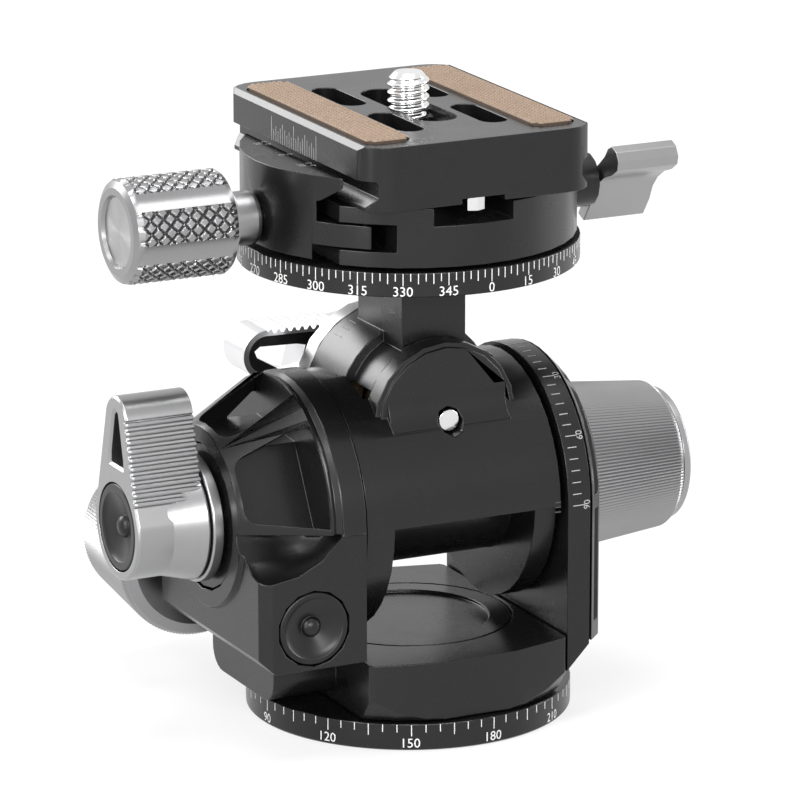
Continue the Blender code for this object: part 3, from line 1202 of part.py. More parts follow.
def build_clamp_knob():
    far = CLAMP_KNOB_END
    near = CLAMP_KNOB_START
    soft = CLAMP_KNOB_CHAMFER
    bearing = -CLAMP_RADIUS - GAP
    dish = far + CLAMP_KNOB_FACE_DEPTH
    width = CLAMP_COLLAR_WIDTH
    screw_room = CLAMP_SCREW_RADIUS + GAP
    knob = turned("clamp_knob", [
        (screw_room, bearing), (CLAMP_SHAFT_RADIUS, bearing),
        (CLAMP_SHAFT_RADIUS, near + width * 3), (CLAMP_COLLAR_RADIUS, near + width * 3),
        (CLAMP_COLLAR_RADIUS, near + width * 2), (CLAMP_SHAFT_RADIUS, near + width * 2),
        (CLAMP_SHAFT_RADIUS, near), (CLAMP_KNOB_RADIUS - soft, near), (CLAMP_KNOB_RADIUS, near - soft),
        (CLAMP_KNOB_RADIUS, far + soft), (CLAMP_KNOB_RADIUS - soft, far),
        (CLAMP_KNOB_FACE_RADIUS, far), (CLAMP_KNOB_FACE_RADIUS, dish), (0, dish),
        (0, near - CLAMP_KNOB_FLOOR), (screw_room, near - CLAMP_KNOB_FLOOR),
    ], "X", CLAMP_SCREW_AXIS)
    finish(knob, SILVER_ALUMINIUM)
    screw = rod("clamp_screw", CLAMP_SCREW_RADIUS, near - CLAMP_KNOB_FLOOR + GAP, CLAMP_SCREW_END,
                "X", CLAMP_SCREW_AXIS, SMALL_STEPS)
    finish(screw, STEEL)
    return [knob, screw]


def build_lock_lever():
    arm = turned("lock_lever_arm", [
        (0, LEVER_ARM_END), (LEVER_ARM_RADIUS, LEVER_ARM_END), (LEVER_ARM_RADIUS, LEVER_ARM_START),
        (STUD_RADIUS, LEVER_ARM_START), (STUD_RADIUS, STUD_START), (0, STUD_START),
    ], "X", CLAMP_SCREW_AXIS, SMALL_STEPS)
    finish(arm, BLACK_ALUMINIUM)
    outline = [(y, CLAMP_SCREW_Z + z) for y, z in PADDLE_FRONT + PADDLE_BACK]
    paddle = slab("lock_lever_paddle", outline, "X", PADDLE_START, PADDLE_END)
    finish(paddle, SILVER_ALUMINIUM)
    return [arm, paddle]


# Quick plate and camera screw

def build_plate():
    foot_top = PLATE_BOTTOM + PLATE_FOOT
    waist = PLATE_FOOT_HALF_WIDTH - PLATE_WAIST_HALF_WIDTH
    wall = PLATE_BOTTOM + PLATE_WALL
    side = [
        (PLATE_FOOT_HALF_WIDTH, PLATE_BOTTOM), (PLATE_FOOT_HALF_WIDTH, foot_top),
        (PLATE_WAIST_HALF_WIDTH, foot_top + waist), (PLATE_WAIST_HALF_WIDTH, PLATE_BOTTOM + PLATE_WAIST),
        (PLATE_WAIST_HALF_WIDTH + GAP, wall), (PLATE_HALF_WIDTH, wall),
        (PLATE_HALF_WIDTH, PLATE_TOP - PLATE_BEVEL), (PLATE_HALF_WIDTH - PLATE_BEVEL, PLATE_TOP),
    ]
    outline = side + [(-x, z) for x, z in reversed(side)]
    plate = slab("quick_plate", outline, "Y", -PLATE_HALF_LENGTH, PLATE_HALF_LENGTH)
    round_outline = rounded_box((-PLATE_HALF_WIDTH - GAP, -PLATE_HALF_LENGTH),
                                (PLATE_HALF_WIDTH + GAP, PLATE_HALF_LENGTH), PLATE_CORNER)
    keep_inside(plate, slab("plate_corners", round_outline, "Z", PLATE_BOTTOM - OVERRUN, PLATE_TOP + OVERRUN))
    reach = PLATE_TOP + OVERRUN
    floor = PLATE_BOTTOM - OVERRUN
    middle = slab("plate_slot", rounded_box((-SLOT_HALF_WIDTH, -SLOT_HALF_LENGTH),
                                            (SLOT_HALF_WIDTH, SLOT_HALF_LENGTH), SLOT_HALF_WIDTH),
                  "Z", floor, reach)
    channel = block("plate_channel", (-HEAD_CHANNEL_HALF_WIDTH, -HEAD_CHANNEL_HALF_LENGTH, floor),
                    (HEAD_CHANNEL_HALF_WIDTH, HEAD_CHANNEL_HALF_LENGTH, HEAD_CHANNEL_TOP))
    groove = block("plate_stop_groove", (-STOP_GROOVE_HALF_WIDTH, -PLATE_HALF_LENGTH - OVERRUN, floor),
                   (STOP_GROOVE_HALF_WIDTH, PLATE_HALF_LENGTH + OVERRUN, PLATE_BOTTOM + STOP_GROOVE_DEPTH))
    stop_top = PLATE_BOTTOM + STOP_SUNK
    stop_place = (STOP_X, STOP_Y, 0)
    socket = rod("plate_stop_socket", STOP_RADIUS + GAP, floor, stop_top + GAP, "Z", stop_place, TINY_STEPS)
    cut(plate, middle, channel, groove, socket)
    stop = rod("stop_screw", STOP_RADIUS, PLATE_BOTTOM - STOP_DROP, stop_top, "Z", stop_place, TINY_STEPS)
    finish(stop, STEEL)
    for side_x in (-SIDE_SLOT_X, SIDE_SLOT_X):
        for low, high in ((-SIDE_SLOT_FAR, -SIDE_SLOT_NEAR), (SIDE_SLOT_NEAR, SIDE_SLOT_FAR)):
            name = f"plate_side_slot_{'left' if side_x < 0 else 'right'}_{'front' if low < 0 else 'back'}"
            shape = rounded_box((side_x - SIDE_SLOT_HALF_WIDTH, low),
                                (side_x + SIDE_SLOT_HALF_WIDTH, high), SIDE_SLOT_HALF_WIDTH, 4)
            cut(plate, slab(name, shape, "Z", floor, reach))
    strips = []
    for side_name, sign in (("left", -1), ("right", 1)):
        edges = sorted((STRIP_INNER * sign, STRIP_OUTER * sign))
        room = rounded_box((edges[0] - GAP, -STRIP_HALF_LENGTH - GAP),
                           (edges[1] + GAP, STRIP_HALF_LENGTH + GAP), STRIP_CORNER + GAP)
        cut(plate, slab(f"plate_strip_room_{side_name}", room, "Z", PLATE_TOP - STRIP_SINK - GAP, reach))
        shape = rounded_box((edges[0], -STRIP_HALF_LENGTH), (edges[1], STRIP_HALF_LENGTH), STRIP_CORNER)
        strip = slab(f"grip_strip_{side_name}", shape, "Z", PLATE_TOP - STRIP_SINK, PLATE_TOP + STRIP_RISE)
        strips.append(finish(strip, TAN_RUBBER))
    finish(plate, BLACK_ALUMINIUM)
    return [plate, stop] + strips


def build_camera_screw():
    washer_low = SCREW_HEAD_TOP + GAP
    washer = ring("screw_washer", SCREW_HEAD_RADIUS, SCREW_RADIUS + GAP, washer_low, SCREW_WASHER_TOP,
                  steps=SMALL_STEPS)
    finish(washer, BLACK_ALUMINIUM)
    screw = turned("camera_screw", [
        (0, SCREW_TOP), (SCREW_NOSE_RADIUS, SCREW_TOP), (SCREW_RADIUS, SCREW_TOP - SCREW_LEAD),
        (SCREW_RADIUS, SCREW_HEAD_TOP), (SCREW_HEAD_RADIUS, SCREW_HEAD_TOP),
        (SCREW_HEAD_RADIUS, SCREW_HEAD_BOTTOM), (0, SCREW_HEAD_BOTTOM),
    ], steps=SMALL_STEPS)
    finish(screw, STEEL)
    return washer, screw


def build_all():
    pan = axis_frame("pan_joint", PAN_AXIS)
    tilt = axis_frame("tilt_joint", TILT_AXIS)
    roll = axis_frame("roll_joint", ROLL_AXIS)
    clamp = axis_frame("clamp_joint", (0, 0, CLAMP_BOTTOM))
    build_base()
    carry(pan, *build_yoke_base(), *build_right_arm(), *build_left_arm())
    moving = (
        ("pan_lock_joint", LOCK_AXIS, pan, build_pan_lock()),
        ("tilt_worm_joint", TILT_WORM_AXIS, pan, build_tilt_worm()),
        ("tilt_lever_joint", TILT_AXIS, pan, build_tilt_lever()),
        ("roll_worm_joint", TILT_AXIS, tilt, build_roll_worm()),
        ("roll_lever_joint", ROLL_AXIS, tilt, build_roll_lever()),
        ("jaw_joint", CLAMP_SCREW_AXIS, clamp, build_jaw()),
        ("clamp_knob_joint", CLAMP_SCREW_AXIS, clamp, build_clamp_knob()),
        ("lock_lever_joint", CLAMP_SCREW_AXIS, clamp, build_lock_lever()),
    )
    carry(tilt, *build_barrel())
    carry(roll, *build_rotor())
    carry(clamp, *build_clamp())
    for name, centre, owner, items in moving:
        empty = axis_frame(name, centre)
        carry(empty, *items)
        carry(owner, empty)
    plate = axis_frame("plate_joint", (0, 0, PLATE_BOTTOM))
    slider = axis_frame("screw_slide_joint", (0, 0, SCREW_WASHER_TOP))
    spin = axis_frame("screw_spin_joint", (0, 0, SCREW_HEAD_BOTTOM))
    carry(plate, *build_plate())
    washer, screw = build_camera_screw()
    carry(slider, washer)
    carry(spin, screw)
    carry(slider, spin)
    carry(plate, slider)
    carry(clamp, plate)
    carry(roll, clamp)
    carry(tilt, roll)
    carry(pan, tilt)


build_all()
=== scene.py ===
# The looks of the geared tripod head: materials, scales, knurling, threads, light and camera,
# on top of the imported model. Sizes are in metres unless a name says otherwise.
import math

import bmesh
import bpy
from mathutils import Matrix, Vector


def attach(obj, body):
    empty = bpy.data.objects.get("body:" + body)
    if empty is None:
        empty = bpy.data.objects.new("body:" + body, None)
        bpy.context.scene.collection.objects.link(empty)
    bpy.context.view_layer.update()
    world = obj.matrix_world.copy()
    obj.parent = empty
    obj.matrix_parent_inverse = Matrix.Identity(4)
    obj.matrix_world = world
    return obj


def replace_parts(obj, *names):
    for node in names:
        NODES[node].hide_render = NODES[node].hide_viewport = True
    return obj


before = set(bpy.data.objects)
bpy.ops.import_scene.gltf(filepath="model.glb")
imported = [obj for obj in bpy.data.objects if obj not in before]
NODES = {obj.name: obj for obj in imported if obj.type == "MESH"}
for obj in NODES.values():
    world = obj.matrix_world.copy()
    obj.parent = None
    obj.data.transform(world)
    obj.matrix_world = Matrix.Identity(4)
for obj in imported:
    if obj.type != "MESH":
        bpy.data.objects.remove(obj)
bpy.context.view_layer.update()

# Places of the axes in the frame
TILT_AXIS = (0, 0, 0.034)
ROLL_AXIS = (0, 0, 0.048)
TILT_WORM_AXIS = (-0.0256, 0, 0.0207)
CLAMP_SCREW_AXIS = (0, 0, 0.07915)

# Steps around round pieces
DIAL_STEPS = 144
RING_STEPS = 96
ROUND_STEPS = 72

# Scales: radii, heights, the angle of each zero, and the sizes of marks and numbers
BASE_RADIUS = 0.025
BASE_HEIGHT = 0.0042
BASE_ZERO = -265.12
BASE_SPINDLE_ROOM = 0.0133
DISC_RADIUS = 0.02595
DISC_LOW = 0.07045
DISC_TOP = 0.0742
DISC_BORE = 0.0063
DISC_ZERO = -88.0
ARM_RADIUS = 0.02045
ARM_MARK_START = 0.0177
ARM_MARK_SHORT = 0.00145
ARM_MARK_LONG = 0.0020
ARM_NUMBER_X = 0.02035
ROTOR_RADIUS = 0.013
ROTOR_MARKS = (133.0, 126.0, 119.5)
ROTOR_MARK_Y = (0.0050, 0.0072)
BARREL_MARK_STEP = 2.2
BARREL_MARK_LOW = 0.0196
BARREL_MARK_TOP = 0.02003
BARREL_MARK_X = (0.0149, 0.01585)
MARK_WIDTH = 0.00013
MARK_PROUD = 0.00003
MARK_SUNK = 0.0004
NUMBER_HEIGHT = 0.0015
ARM_NUMBER_HEIGHT = 0.0011
FONT_SIZE_SHARE = 1.37
BASE_TICK_STEP = 5
BASE_NUMBER_STEP = 30
DISC_NUMBER_STEP = 15
BASE_TICKS = (0.0019, 0.0013, 0.0013)
BASE_NUMBER_LOW = 0.0005
DISC_TICKS = (0.0020, 0.0017, 0.0013)
DISC_NUMBER_RAISE = 0.00018
LONG_TICK_EVERY = 15
MIDDLE_TICK_EVERY = 5
ARM_SCALE_START = 90
ARM_SCALE_END = 90
ARM_SCALE_STEP = 5
ARM_NUMBER_STEP = 30
ARM_NUMBER_SHIFT = 0.0002

# Jaw, plate and their marks
JAW_TOP = 0.0878
JAW_MARKS = (
    ("20", -0.0205, 0.0094), ("0", -0.0205, 0.0011), ("20", -0.0207, -0.0063),
)
JAW_LINES_X = (-0.0196, -0.0187)
RULER_X = -0.019
RULER_HALF = 0.00775
RULER_COUNT = 21
RULER_LOW = 0.0886
RULER_LONG = 0.0037
RULER_MIDDLE = 0.0031
RULER_EVEN = 0.0024
RULER_ODD = 0.0018
JAW_NUMBER_SHIFT = 0.0005
JAW_LINE_OFFSET = 0.0008

# Straight knobs: insets from the rim and distances from either face
KNURL_TEETH = 150
KNURL_DEPTH = 0.00022
KNURL_ROWS = 6
KNURL_START = 0.0016
KNURL_MARGINS = 0.0024
KNOB_FACE_INSET = 0.0022
KNOB_LIP_INSET = 0.0006
KNOB_LIP_RISE = 0.0005
KNOB_END_INSET = 0.0004
KNOB_END_DROP = 0.0002
KNOB_END_FACE_INSET = 0.0009
ROLL_KNOB_BORE = 0.0033
TILT_KNOB_BORE = 0.0023
ROLL_KNOB_NEAR = 0.0240
ROLL_KNOB_FAR = 0.0422
TILT_KNOB_NEAR = 0.0206
TILT_KNOB_FAR = 0.0406
KNOB_START_RADIUS = 0.0131
KNOB_END_RADIUS = 0.0115
KNOB_RING_RADIUS = 0.0104
KNOB_RING_LENGTH = 0.0013
KNOB_RING_GAP = 0.0003
RING_CHAMFER = 0.0003
RING_LIP = 0.0012
RING_LIP_FOOT = 0.0014
RING_DISH = 0.0002
RING_CORE_SHARE = 0.45
RING_CORE_FOOT_SHARE = 0.42
RING_CORE_DEPTH = 0.0005

# Clamp knob. Its steps are (radius, along) from the shaft or rim and from the nearest face.
CLAMP_KNOB_NEAR = -0.0310
CLAMP_KNOB_FAR = -0.0480
CLAMP_KNOB_RADIUS = 0.0081
CLAMP_KNOB_FACE = 0.0055
CLAMP_SHAFT_RADIUS = 0.0041
CLAMP_SHAFT_END = -0.02575
CLAMP_SHAFT_BORE = 0.0028
CLAMP_SHAFT_NOSE = ((-0.0006, 0.0), (-0.0001, -0.0004), (0.0, -0.0009))
CLAMP_NECK_STEPS = ((0.0, 0.0012), (0.0009, 0.0010), (0.0009, 0.0004), (0.0003, 0.0002), (0.0003, 0.0))
CLAMP_SHOULDER_STEPS = ((-0.0016, 0.0), (-0.0005, -0.0005))
CLAMP_END_STEPS = ((-0.0005, 0.0005), (-0.0015, 0.0))
CLAMP_FACE_TAPER = 0.0003
CLAMP_FACE_DEPTH = 0.0006
CLAMP_DISC_DEPTH = 0.00055
DIAMOND_MARGIN = 0.0013
DIAMOND_ROWS = 84
DIAMOND_STEPS = 16
DIAMOND_STEEPNESS = 2.6
GROOVE_DEPTH_SHARE = 0.45
GROOVE_LEAN = 0.02
DIAMOND_DEPTH = 0.00042
DIAMOND_COUNT = 24
FLUTE_COUNT = 6
FLUTE_TURN = math.radians(16)
FLUTE_HALF_SHARE = 0.19
FLUTE_EDGE_SHARE = 0.35
FLUTE_LIFT_SHARE = 0.9

# Levers. A rib's points are shares of its pitch and of its rise.
LEVER_HUB = 0.0081
LEVER_TIP = 0.0039
LEVER_REACH = 0.0163
LEVER_RIBS = 10
LEVER_RIB_RISE = 0.00042
LEVER_RIB_START_SHARE = 0.16
LEVER_RIB_SHARES = ((0.0, -1.0), (0.16, -1.0), (0.30, 0.0), (0.50, 0.25), (0.70, 0.0), (0.84, -1.0))
LEVER_TIP_STEPS = 24
LEVER_HUB_STEPS = 49
LEVER_WINDOW = (
    (-0.0025, 0.0096), (0.0025, 0.0096), (0.0024, 0.0112), (0.0009, 0.0172), (0.0, 0.0179),
    (-0.0009, 0.0172), (-0.0024, 0.0112),
)
TILT_LEVER_FACES = (-0.0485, -0.0375)
ROLL_LEVER_FACES = (0.0250, 0.0172)
ROLL_LEVER_LEAN = math.radians(16)
LEVER_CHAMFER = 0.00035
LEVER_RIM = 0.0009
LEVER_WINDOW_BROW_SHARE = 1.14
LEVER_SEAT = 0.0068
LEVER_SEAT_DEPTH = 0.0022
LEVER_SEAT_STEPS = 64
RECESS_PROUD = 0.00006
ROLL_RECESS = 0.0012
TILT_NECK = (
    (0.0044, -0.0440), (LEVER_HUB - 0.0002, -0.0440), (LEVER_HUB + 0.0001, -0.0420),
    (0.0094, -0.0375), (0.0092, -0.0372), (0.0044, -0.0372),
)
TILT_COLLAR = (
    (0.0076, -0.0370), (0.0096, -0.0370), (0.0098, -0.0368), (0.0098, -0.0353), (0.0076, -0.0353),
)

# Dished caps: face, back, rim, dish, dome and depth
WORM_CAP = (-0.02045, -0.01775, 0.0056, 0.0046, 0.0016, 0.0013)
TILT_LEVER_CAP = (-0.0485, -0.0463, 0.0066, 0.0052, 0.0018, 0.0014)
ROLL_LEVER_CAP = (0.0250, 0.0228, 0.0066, 0.0052, 0.0018, 0.0014)
CAP_LIP = 0.0002
CAP_STEP_SHARES = (0.15, 0.85)
CAP_SLOPE_ROWS = 4
CAP_DOME_ROWS = 5
CAP_DOME_SHARE = 0.96
CAP_RISE_SHARE = 0.85

# Camera screw
SCREW_RADIUS = 0.00318
SCREW_DEPTH = 0.0006
SCREW_PITCH = 0.00127
SCREW_TOP = 0.0988
SCREW_CONE = 0.0012
SCREW_NOSE = 0.0021
THREAD_ROWS = 14
SCREW_HEAD_LOW = 0.0844
SCREW_HEAD_TOP = 0.0862
SCREW_HEAD_RADIUS = 0.0056
SCREW_HEAD_STEP = 0.0001
TOUCHING = 0.0000001

# Rubber strips
STRIP_INNER = 0.0100
STRIP_OUTER = 0.0172
STRIP_HALF_LENGTH = 0.0217
STRIP_CORNER = 0.0024
STRIP_CORNER_STEPS = 8
STRIP_LOW = 0.09317
STRIP_TOP = 0.09397
STRIP_STUD = 0.00088
STRIP_STUD_RISE = 0.00028
STUD_HALF_SHARE = 0.46
STUD_TOP_SHARE = 0.4
STUD_SUNK = 0.00002
STUD_SHADE_SHARE = 0.3
SQUARE = ((-1, -1), (1, -1), (1, 1), (-1, 1))

# Camera, solved from the photograph: its angles, place and lens
CAMERA_AZIMUTH = math.radians(-26.260)
CAMERA_ELEVATION = math.radians(15.513)
CAMERA_PLACE = (-0.365822, -0.738702, 0.276519)
FOCAL_PIXELS = 5623.43
IMAGE_PIXELS = 800
SENSOR_MM = 36.0
CLIP_START = 0.05

# Stage. Each lamp has its place, the two sides of its area and its power in watts.
LAMP_TARGET = (0, 0, 0.045)
LAMPS = (
    ("key_left", (-0.80, -0.35, 0.60), (0.30, 0.55), 6.0),
    ("top_soft", (0.0, -0.05, 0.95), (0.70, 0.45), 6.5),
    ("right_strip", (0.80, -0.10, 0.25), (0.12, 0.70), 4.0),
    ("front_strip", (-0.20, -1.0, 0.42), (0.7, 0.10), 8.0),
    ("low_left", (-0.90, -0.55, 0.05), (0.10, 0.30), 2.5),
    ("rear_rim", (-0.35, 0.75, 0.45), (0.6, 0.4), 6.0),
)
WORLD_FILL = 0.10
FLOOR_HALF = 3.0
FLOOR_DROP = 0.0001
FLOOR_WHITE = 0.9
FLOOR_GLOW_SHARE = 0.75

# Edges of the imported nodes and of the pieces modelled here
EDGE_BREAK = 0.00014
NODE_WELD = 0.00001
FLAT_DEGREES = 0.5
NODE_EDGE_DEGREES = 32
NORMAL_WEIGHT = 60
DISC_EDGE_DEGREES = 20
CAP_EDGE_DEGREES = 28
LEVER_EDGE_DEGREES = 25

# Looks: scales of the textures, and how far they lighten, darken, roughen and emboss
BLACK_SPECULAR = 0.36
BLACK_LIGHT_SHARE = 1.35
BLACK_GRAIN = 9000.0
BLACK_SHEEN = 140.0
BLACK_SMOOTHER = 0.04
GRAIN_BUMP = 0.06
METAL_MARKS = (900.0, 900.0, 900.0)
METAL_CLOUDS = 120.0
METAL_DARK_SHARE = 0.9
METAL_SMOOTHER = 0.03
STREAK_BUMP = 0.05
FINE_BUMP_DEPTH = 0.00001
ROUGHER = 0.05
SPUN_ANISOTROPY = 0.85
SPUN_WEAR = 900.0
RUBBER_DOTS = 1050.0
RUBBER_DOTS_RANDOM = 0.25
RUBBER_GRIME = 900.0
RUBBER_ROUGHNESS = (0.7, 0.95)
DOT_BUMP = 0.3
DOT_BUMP_DEPTH = 0.0001
PAINT_WEAR = 2500.0
PAINT_DARK_SHARE = 0.8
PAINT_ROUGHNESS = (0.45, 0.6)

TURNS = {
    "X": Matrix(((0, 0, 1), (1, 0, 0), (0, 1, 0))).to_4x4(),
    "Y": Matrix(((0, 1, 0), (0, 0, 1), (1, 0, 0))).to_4x4(),
    "Z": Matrix.Identity(4),
}


# Materials and their nodes

def new_material(name, colour, roughness, metallic=0.0):
    made = bpy.data.materials.new(name)
    made.use_nodes = True
    shader = made.node_tree.nodes["Principled BSDF"]
    shader.inputs["Base Color"].default_value = (*colour, 1)
    shader.inputs["Roughness"].default_value = roughness
    shader.inputs["Metallic"].default_value = metallic
    return made, shader


def add_node(material, kind, **values):
    node = material.node_tree.nodes.new(kind)
    for name, value in values.items():
        if name in node.inputs:
            node.inputs[name].default_value = value
        else:
            setattr(node, name, value)
    return node


def link(material, source, target):
    material.node_tree.links.new(source, target)


def object_coordinates(material, scale=(1, 1, 1)):
    coordinates = add_node(material, "ShaderNodeTexCoord")
    mapping = add_node(material, "ShaderNodeMapping", Scale=scale)
    link(material, coordinates.outputs["Object"], mapping.inputs["Vector"])
    return mapping.outputs["Vector"]


def vary(material, shader, source, low, high):
    # A texture's grey drives the roughness between two values
    spread = add_node(material, "ShaderNodeMapRange")
    spread.inputs["To Min"].default_value = low
    spread.inputs["To Max"].default_value = high
    link(material, source, spread.inputs["Value"])
    link(material, spread.outputs["Result"], shader.inputs["Roughness"])


def tint(material, shader, source, dark, light):
    ramp = add_node(material, "ShaderNodeValToRGB")
    ramp.color_ramp.elements[0].color = (*dark, 1)
    ramp.color_ramp.elements[1].color = (*light, 1)
    link(material, source, ramp.inputs["Fac"])
    link(material, ramp.outputs["Color"], shader.inputs["Base Color"])


def bump(material, shader, source, strength, distance):
    node = add_node(material, "ShaderNodeBump", Strength=strength, Distance=distance)
    link(material, source, node.inputs["Height"])
    link(material, node.outputs["Normal"], shader.inputs["Normal"])


def anodised(name, colour, roughness):
    # Bead-blasted and anodised aluminium: a very fine grain over slow changes of sheen
    made, shader = new_material(name, colour, roughness)
    shader.inputs["Specular IOR Level"].default_value = BLACK_SPECULAR
    where = object_coordinates(made)
    fine = add_node(made, "ShaderNodeTexNoise", Scale=BLACK_GRAIN, Detail=2.0)
    slow = add_node(made, "ShaderNodeTexNoise", Scale=BLACK_SHEEN, Detail=4.0, Roughness=0.6)
    link(made, where, fine.inputs["Vector"])
    link(made, where, slow.inputs["Vector"])
    vary(made, shader, slow.outputs["Fac"], roughness - BLACK_SMOOTHER, roughness + ROUGHER)
    light = tuple(channel * BLACK_LIGHT_SHARE for channel in colour)
    tint(made, shader, slow.outputs["Fac"], colour, light)
    bump(made, shader, fine.outputs["Fac"], GRAIN_BUMP, FINE_BUMP_DEPTH)
    return made


def machined(name, colour, roughness, lines):
    # Bare metal with fine tool marks; unequal stretches of the noise draw them out one way
    made, shader = new_material(name, colour, roughness, 1.0)
    where = object_coordinates(made, lines)
    streaks = add_node(made, "ShaderNodeTexNoise", Scale=1.0, Detail=5.0, Roughness=0.65)
    link(made, where, streaks.inputs["Vector"])
    slow = add_node(made, "ShaderNodeTexNoise", Scale=METAL_CLOUDS, Detail=3.0)
    link(made, object_coordinates(made), slow.inputs["Vector"])
    vary(made, shader, streaks.outputs["Fac"], roughness - METAL_SMOOTHER, roughness + ROUGHER)
    dark = tuple(channel * METAL_DARK_SHARE for channel in colour)
    tint(made, shader, slow.outputs["Fac"], dark, colour)
    bump(made, shader, streaks.outputs["Fac"], STREAK_BUMP, FINE_BUMP_DEPTH)
    return made


def spun(name, colour, roughness):
    # A face turned on a lathe: its highlights fan out from the centre of its own box
    made, shader = new_material(name, colour, roughness, 1.0)
    shader.inputs["Anisotropic"].default_value = SPUN_ANISOTROPY
    around = add_node(made, "ShaderNodeTangent", direction_type="RADIAL", axis="X")
    link(made, around.outputs["Tangent"], shader.inputs["Tangent"])
    wear = add_node(made, "ShaderNodeTexNoise", Scale=SPUN_WEAR, Detail=4.0)
    link(made, object_coordinates(made), wear.inputs["Vector"])
    vary(made, shader, wear.outputs["Fac"], roughness - METAL_SMOOTHER, roughness + ROUGHER)
    return made


def rubbery(name, dark, light):
    # Rubber with small dots and a little wear
    made, shader = new_material(name, light, 0.8)
    where = object_coordinates(made)
    dots = add_node(made, "ShaderNodeTexVoronoi", Scale=RUBBER_DOTS, Randomness=RUBBER_DOTS_RANDOM)
    grime = add_node(made, "ShaderNodeTexNoise", Scale=RUBBER_GRIME, Detail=5.0)
    link(made, where, dots.inputs["Vector"])
    link(made, where, grime.inputs["Vector"])
    tint(made, shader, dots.outputs["Distance"], light, dark)
    vary(made, shader, grime.outputs["Fac"], *RUBBER_ROUGHNESS)
    invert = add_node(made, "ShaderNodeMath", operation="SUBTRACT")
    invert.inputs[0].default_value = 1.0
    link(made, dots.outputs["Distance"], invert.inputs[1])
    bump(made, shader, invert.outputs["Value"], DOT_BUMP, DOT_BUMP_DEPTH)
    return made


def paint(name, colour):
    # The filling of engraved marks, slightly worn
    made, shader = new_material(name, colour, 0.5)
    where = object_coordinates(made)
    wear = add_node(made, "ShaderNodeTexNoise", Scale=PAINT_WEAR, Detail=3.0)
    link(made, where, wear.inputs["Vector"])
    dark = tuple(channel * PAINT_DARK_SHARE for channel in colour)
    tint(made, shader, wear.outputs["Fac"], dark, colour)
    vary(made, shader, wear.outputs["Fac"], *PAINT_ROUGHNESS)
    return made


BLACK = anodised("satin_black", (0.0045, 0.0045, 0.0048), 0.27)
DEEP_BLACK = anodised("deep_black", (0.003, 0.003, 0.0032), 0.34)
SILVER = machined("machined_silver", (0.34, 0.34, 0.345), 0.30, METAL_MARKS)
# A much lighter copy of the lever silver for the roll lever, painted light where that lever stands lit
LIT_SILVER = machined("lit_silver", (0.80, 0.80, 0.81), 0.28, METAL_MARKS)
KNOB_SILVER = machined("knob_silver", (0.30, 0.30, 0.305), 0.30, METAL_MARKS)
STEEL = machined("turned_steel", (0.72, 0.72, 0.72), 0.14, METAL_MARKS)
CHROME = machined("chrome", (0.82, 0.82, 0.82), 0.16, (200.0, 200.0, 200.0))
SPUN = spun("spun_silver", (0.40, 0.40, 0.40), 0.30)
BRASS = machined("turned_brass", (0.75, 0.58, 0.28), 0.28, (300.0, 300.0, 4000.0))
BRONZE = machined("cut_bronze", (0.55, 0.38, 0.20), 0.34, (300.0, 4000.0, 300.0))
TAN = rubbery("tan_rubber", (0.20, 0.145, 0.105), (0.31, 0.225, 0.165))
# A darker tan that paints the shade between the strips' studs
TAN_SHADE = rubbery("tan_rubber_painted_shade", (0.05, 0.034, 0.024), (0.10, 0.07, 0.05))
WHITE = paint("engraving_white", (0.72, 0.72, 0.71))
GREY = paint("engraving_grey", (0.38, 0.38, 0.375))
FAINT = paint("engraving_faint", (0.06, 0.06, 0.06))
# Painted shade for the grooves of the clamp knob's knurl
GROOVE_SHADE = anodised("groove_painted_shade", (0.03, 0.03, 0.031), 0.45)

NODE_LOOKS = {
    "base_disc": BLACK, "pan_spindle": STEEL, "tripod_bush": BRASS, "pan_nut": STEEL,
    "yoke_base": BLACK, "pan_cover": BLACK, "pan_lock_pad": BRASS, "right_arm": BLACK,
    "right_bush": BRONZE, "right_arm_cover": BLACK, "left_arm": BLACK, "left_bush": BRONZE,
    "hub_ring": BLACK, "worm_end_cap": BLACK, "worm_bush_front": BRONZE, "worm_bush_rear": BLACK,
    "pan_lock_knob": BLACK, "tilt_worm": STEEL, "tilt_knob": KNOB_SILVER, "tilt_knob_ring": KNOB_SILVER,
    "tilt_lever": SILVER, "tilt_lever_cap": DEEP_BLACK, "tilt_lever_collar": SILVER,
    "roll_worm": STEEL, "roll_knob": KNOB_SILVER, "roll_knob_ring": KNOB_SILVER,
    "roll_lever": LIT_SILVER, "roll_lever_cap": DEEP_BLACK, "barrel": BLACK, "roll_rear_cap": SILVER,
    "roll_axle": STEEL, "tilt_shaft": STEEL, "tilt_wheel": BRONZE, "roll_rotor": BLACK,
    "roll_wheel": BRONZE, "upper_disc": BLACK, "clamp_spindle": STEEL, "clamp_nut": STEEL,
    "clamp_body": BLACK, "clamp_jaw": BLACK, "clamp_knob": SILVER, "clamp_screw": STEEL,
    "lock_lever_arm": BLACK, "lock_lever_paddle": SILVER, "stop_screw": STEEL, "quick_plate": BLACK,
    "grip_strip_left": TAN, "grip_strip_right": TAN, "screw_washer": BLACK, "camera_screw": STEEL,
}


def break_edges(item, angle):
    # Breaks every edge that is sharper than the angle
    edge = item.modifiers.new("edge", "BEVEL")
    edge.width = EDGE_BREAK
    edge.segments = 2
    edge.limit_method = "ANGLE"
    edge.angle_limit = math.radians(angle)
    return edge


def soften(item):
    # Joins split corners and coplanar triangles, breaks sharp edges and keeps flat faces flat
    weld = item.modifiers.new("weld", "WELD")
    weld.merge_threshold = NODE_WELD
    planes = item.modifiers.new("planes", "DECIMATE")
    planes.decimate_type = "DISSOLVE"
    planes.angle_limit = math.radians(FLAT_DEGREES)
    break_edges(item, NODE_EDGE_DEGREES).use_clamp_overlap = False
    normals = item.modifiers.new("normals", "WEIGHTED_NORMAL")
    normals.mode = "FACE_AREA"
    normals.weight = NORMAL_WEIGHT


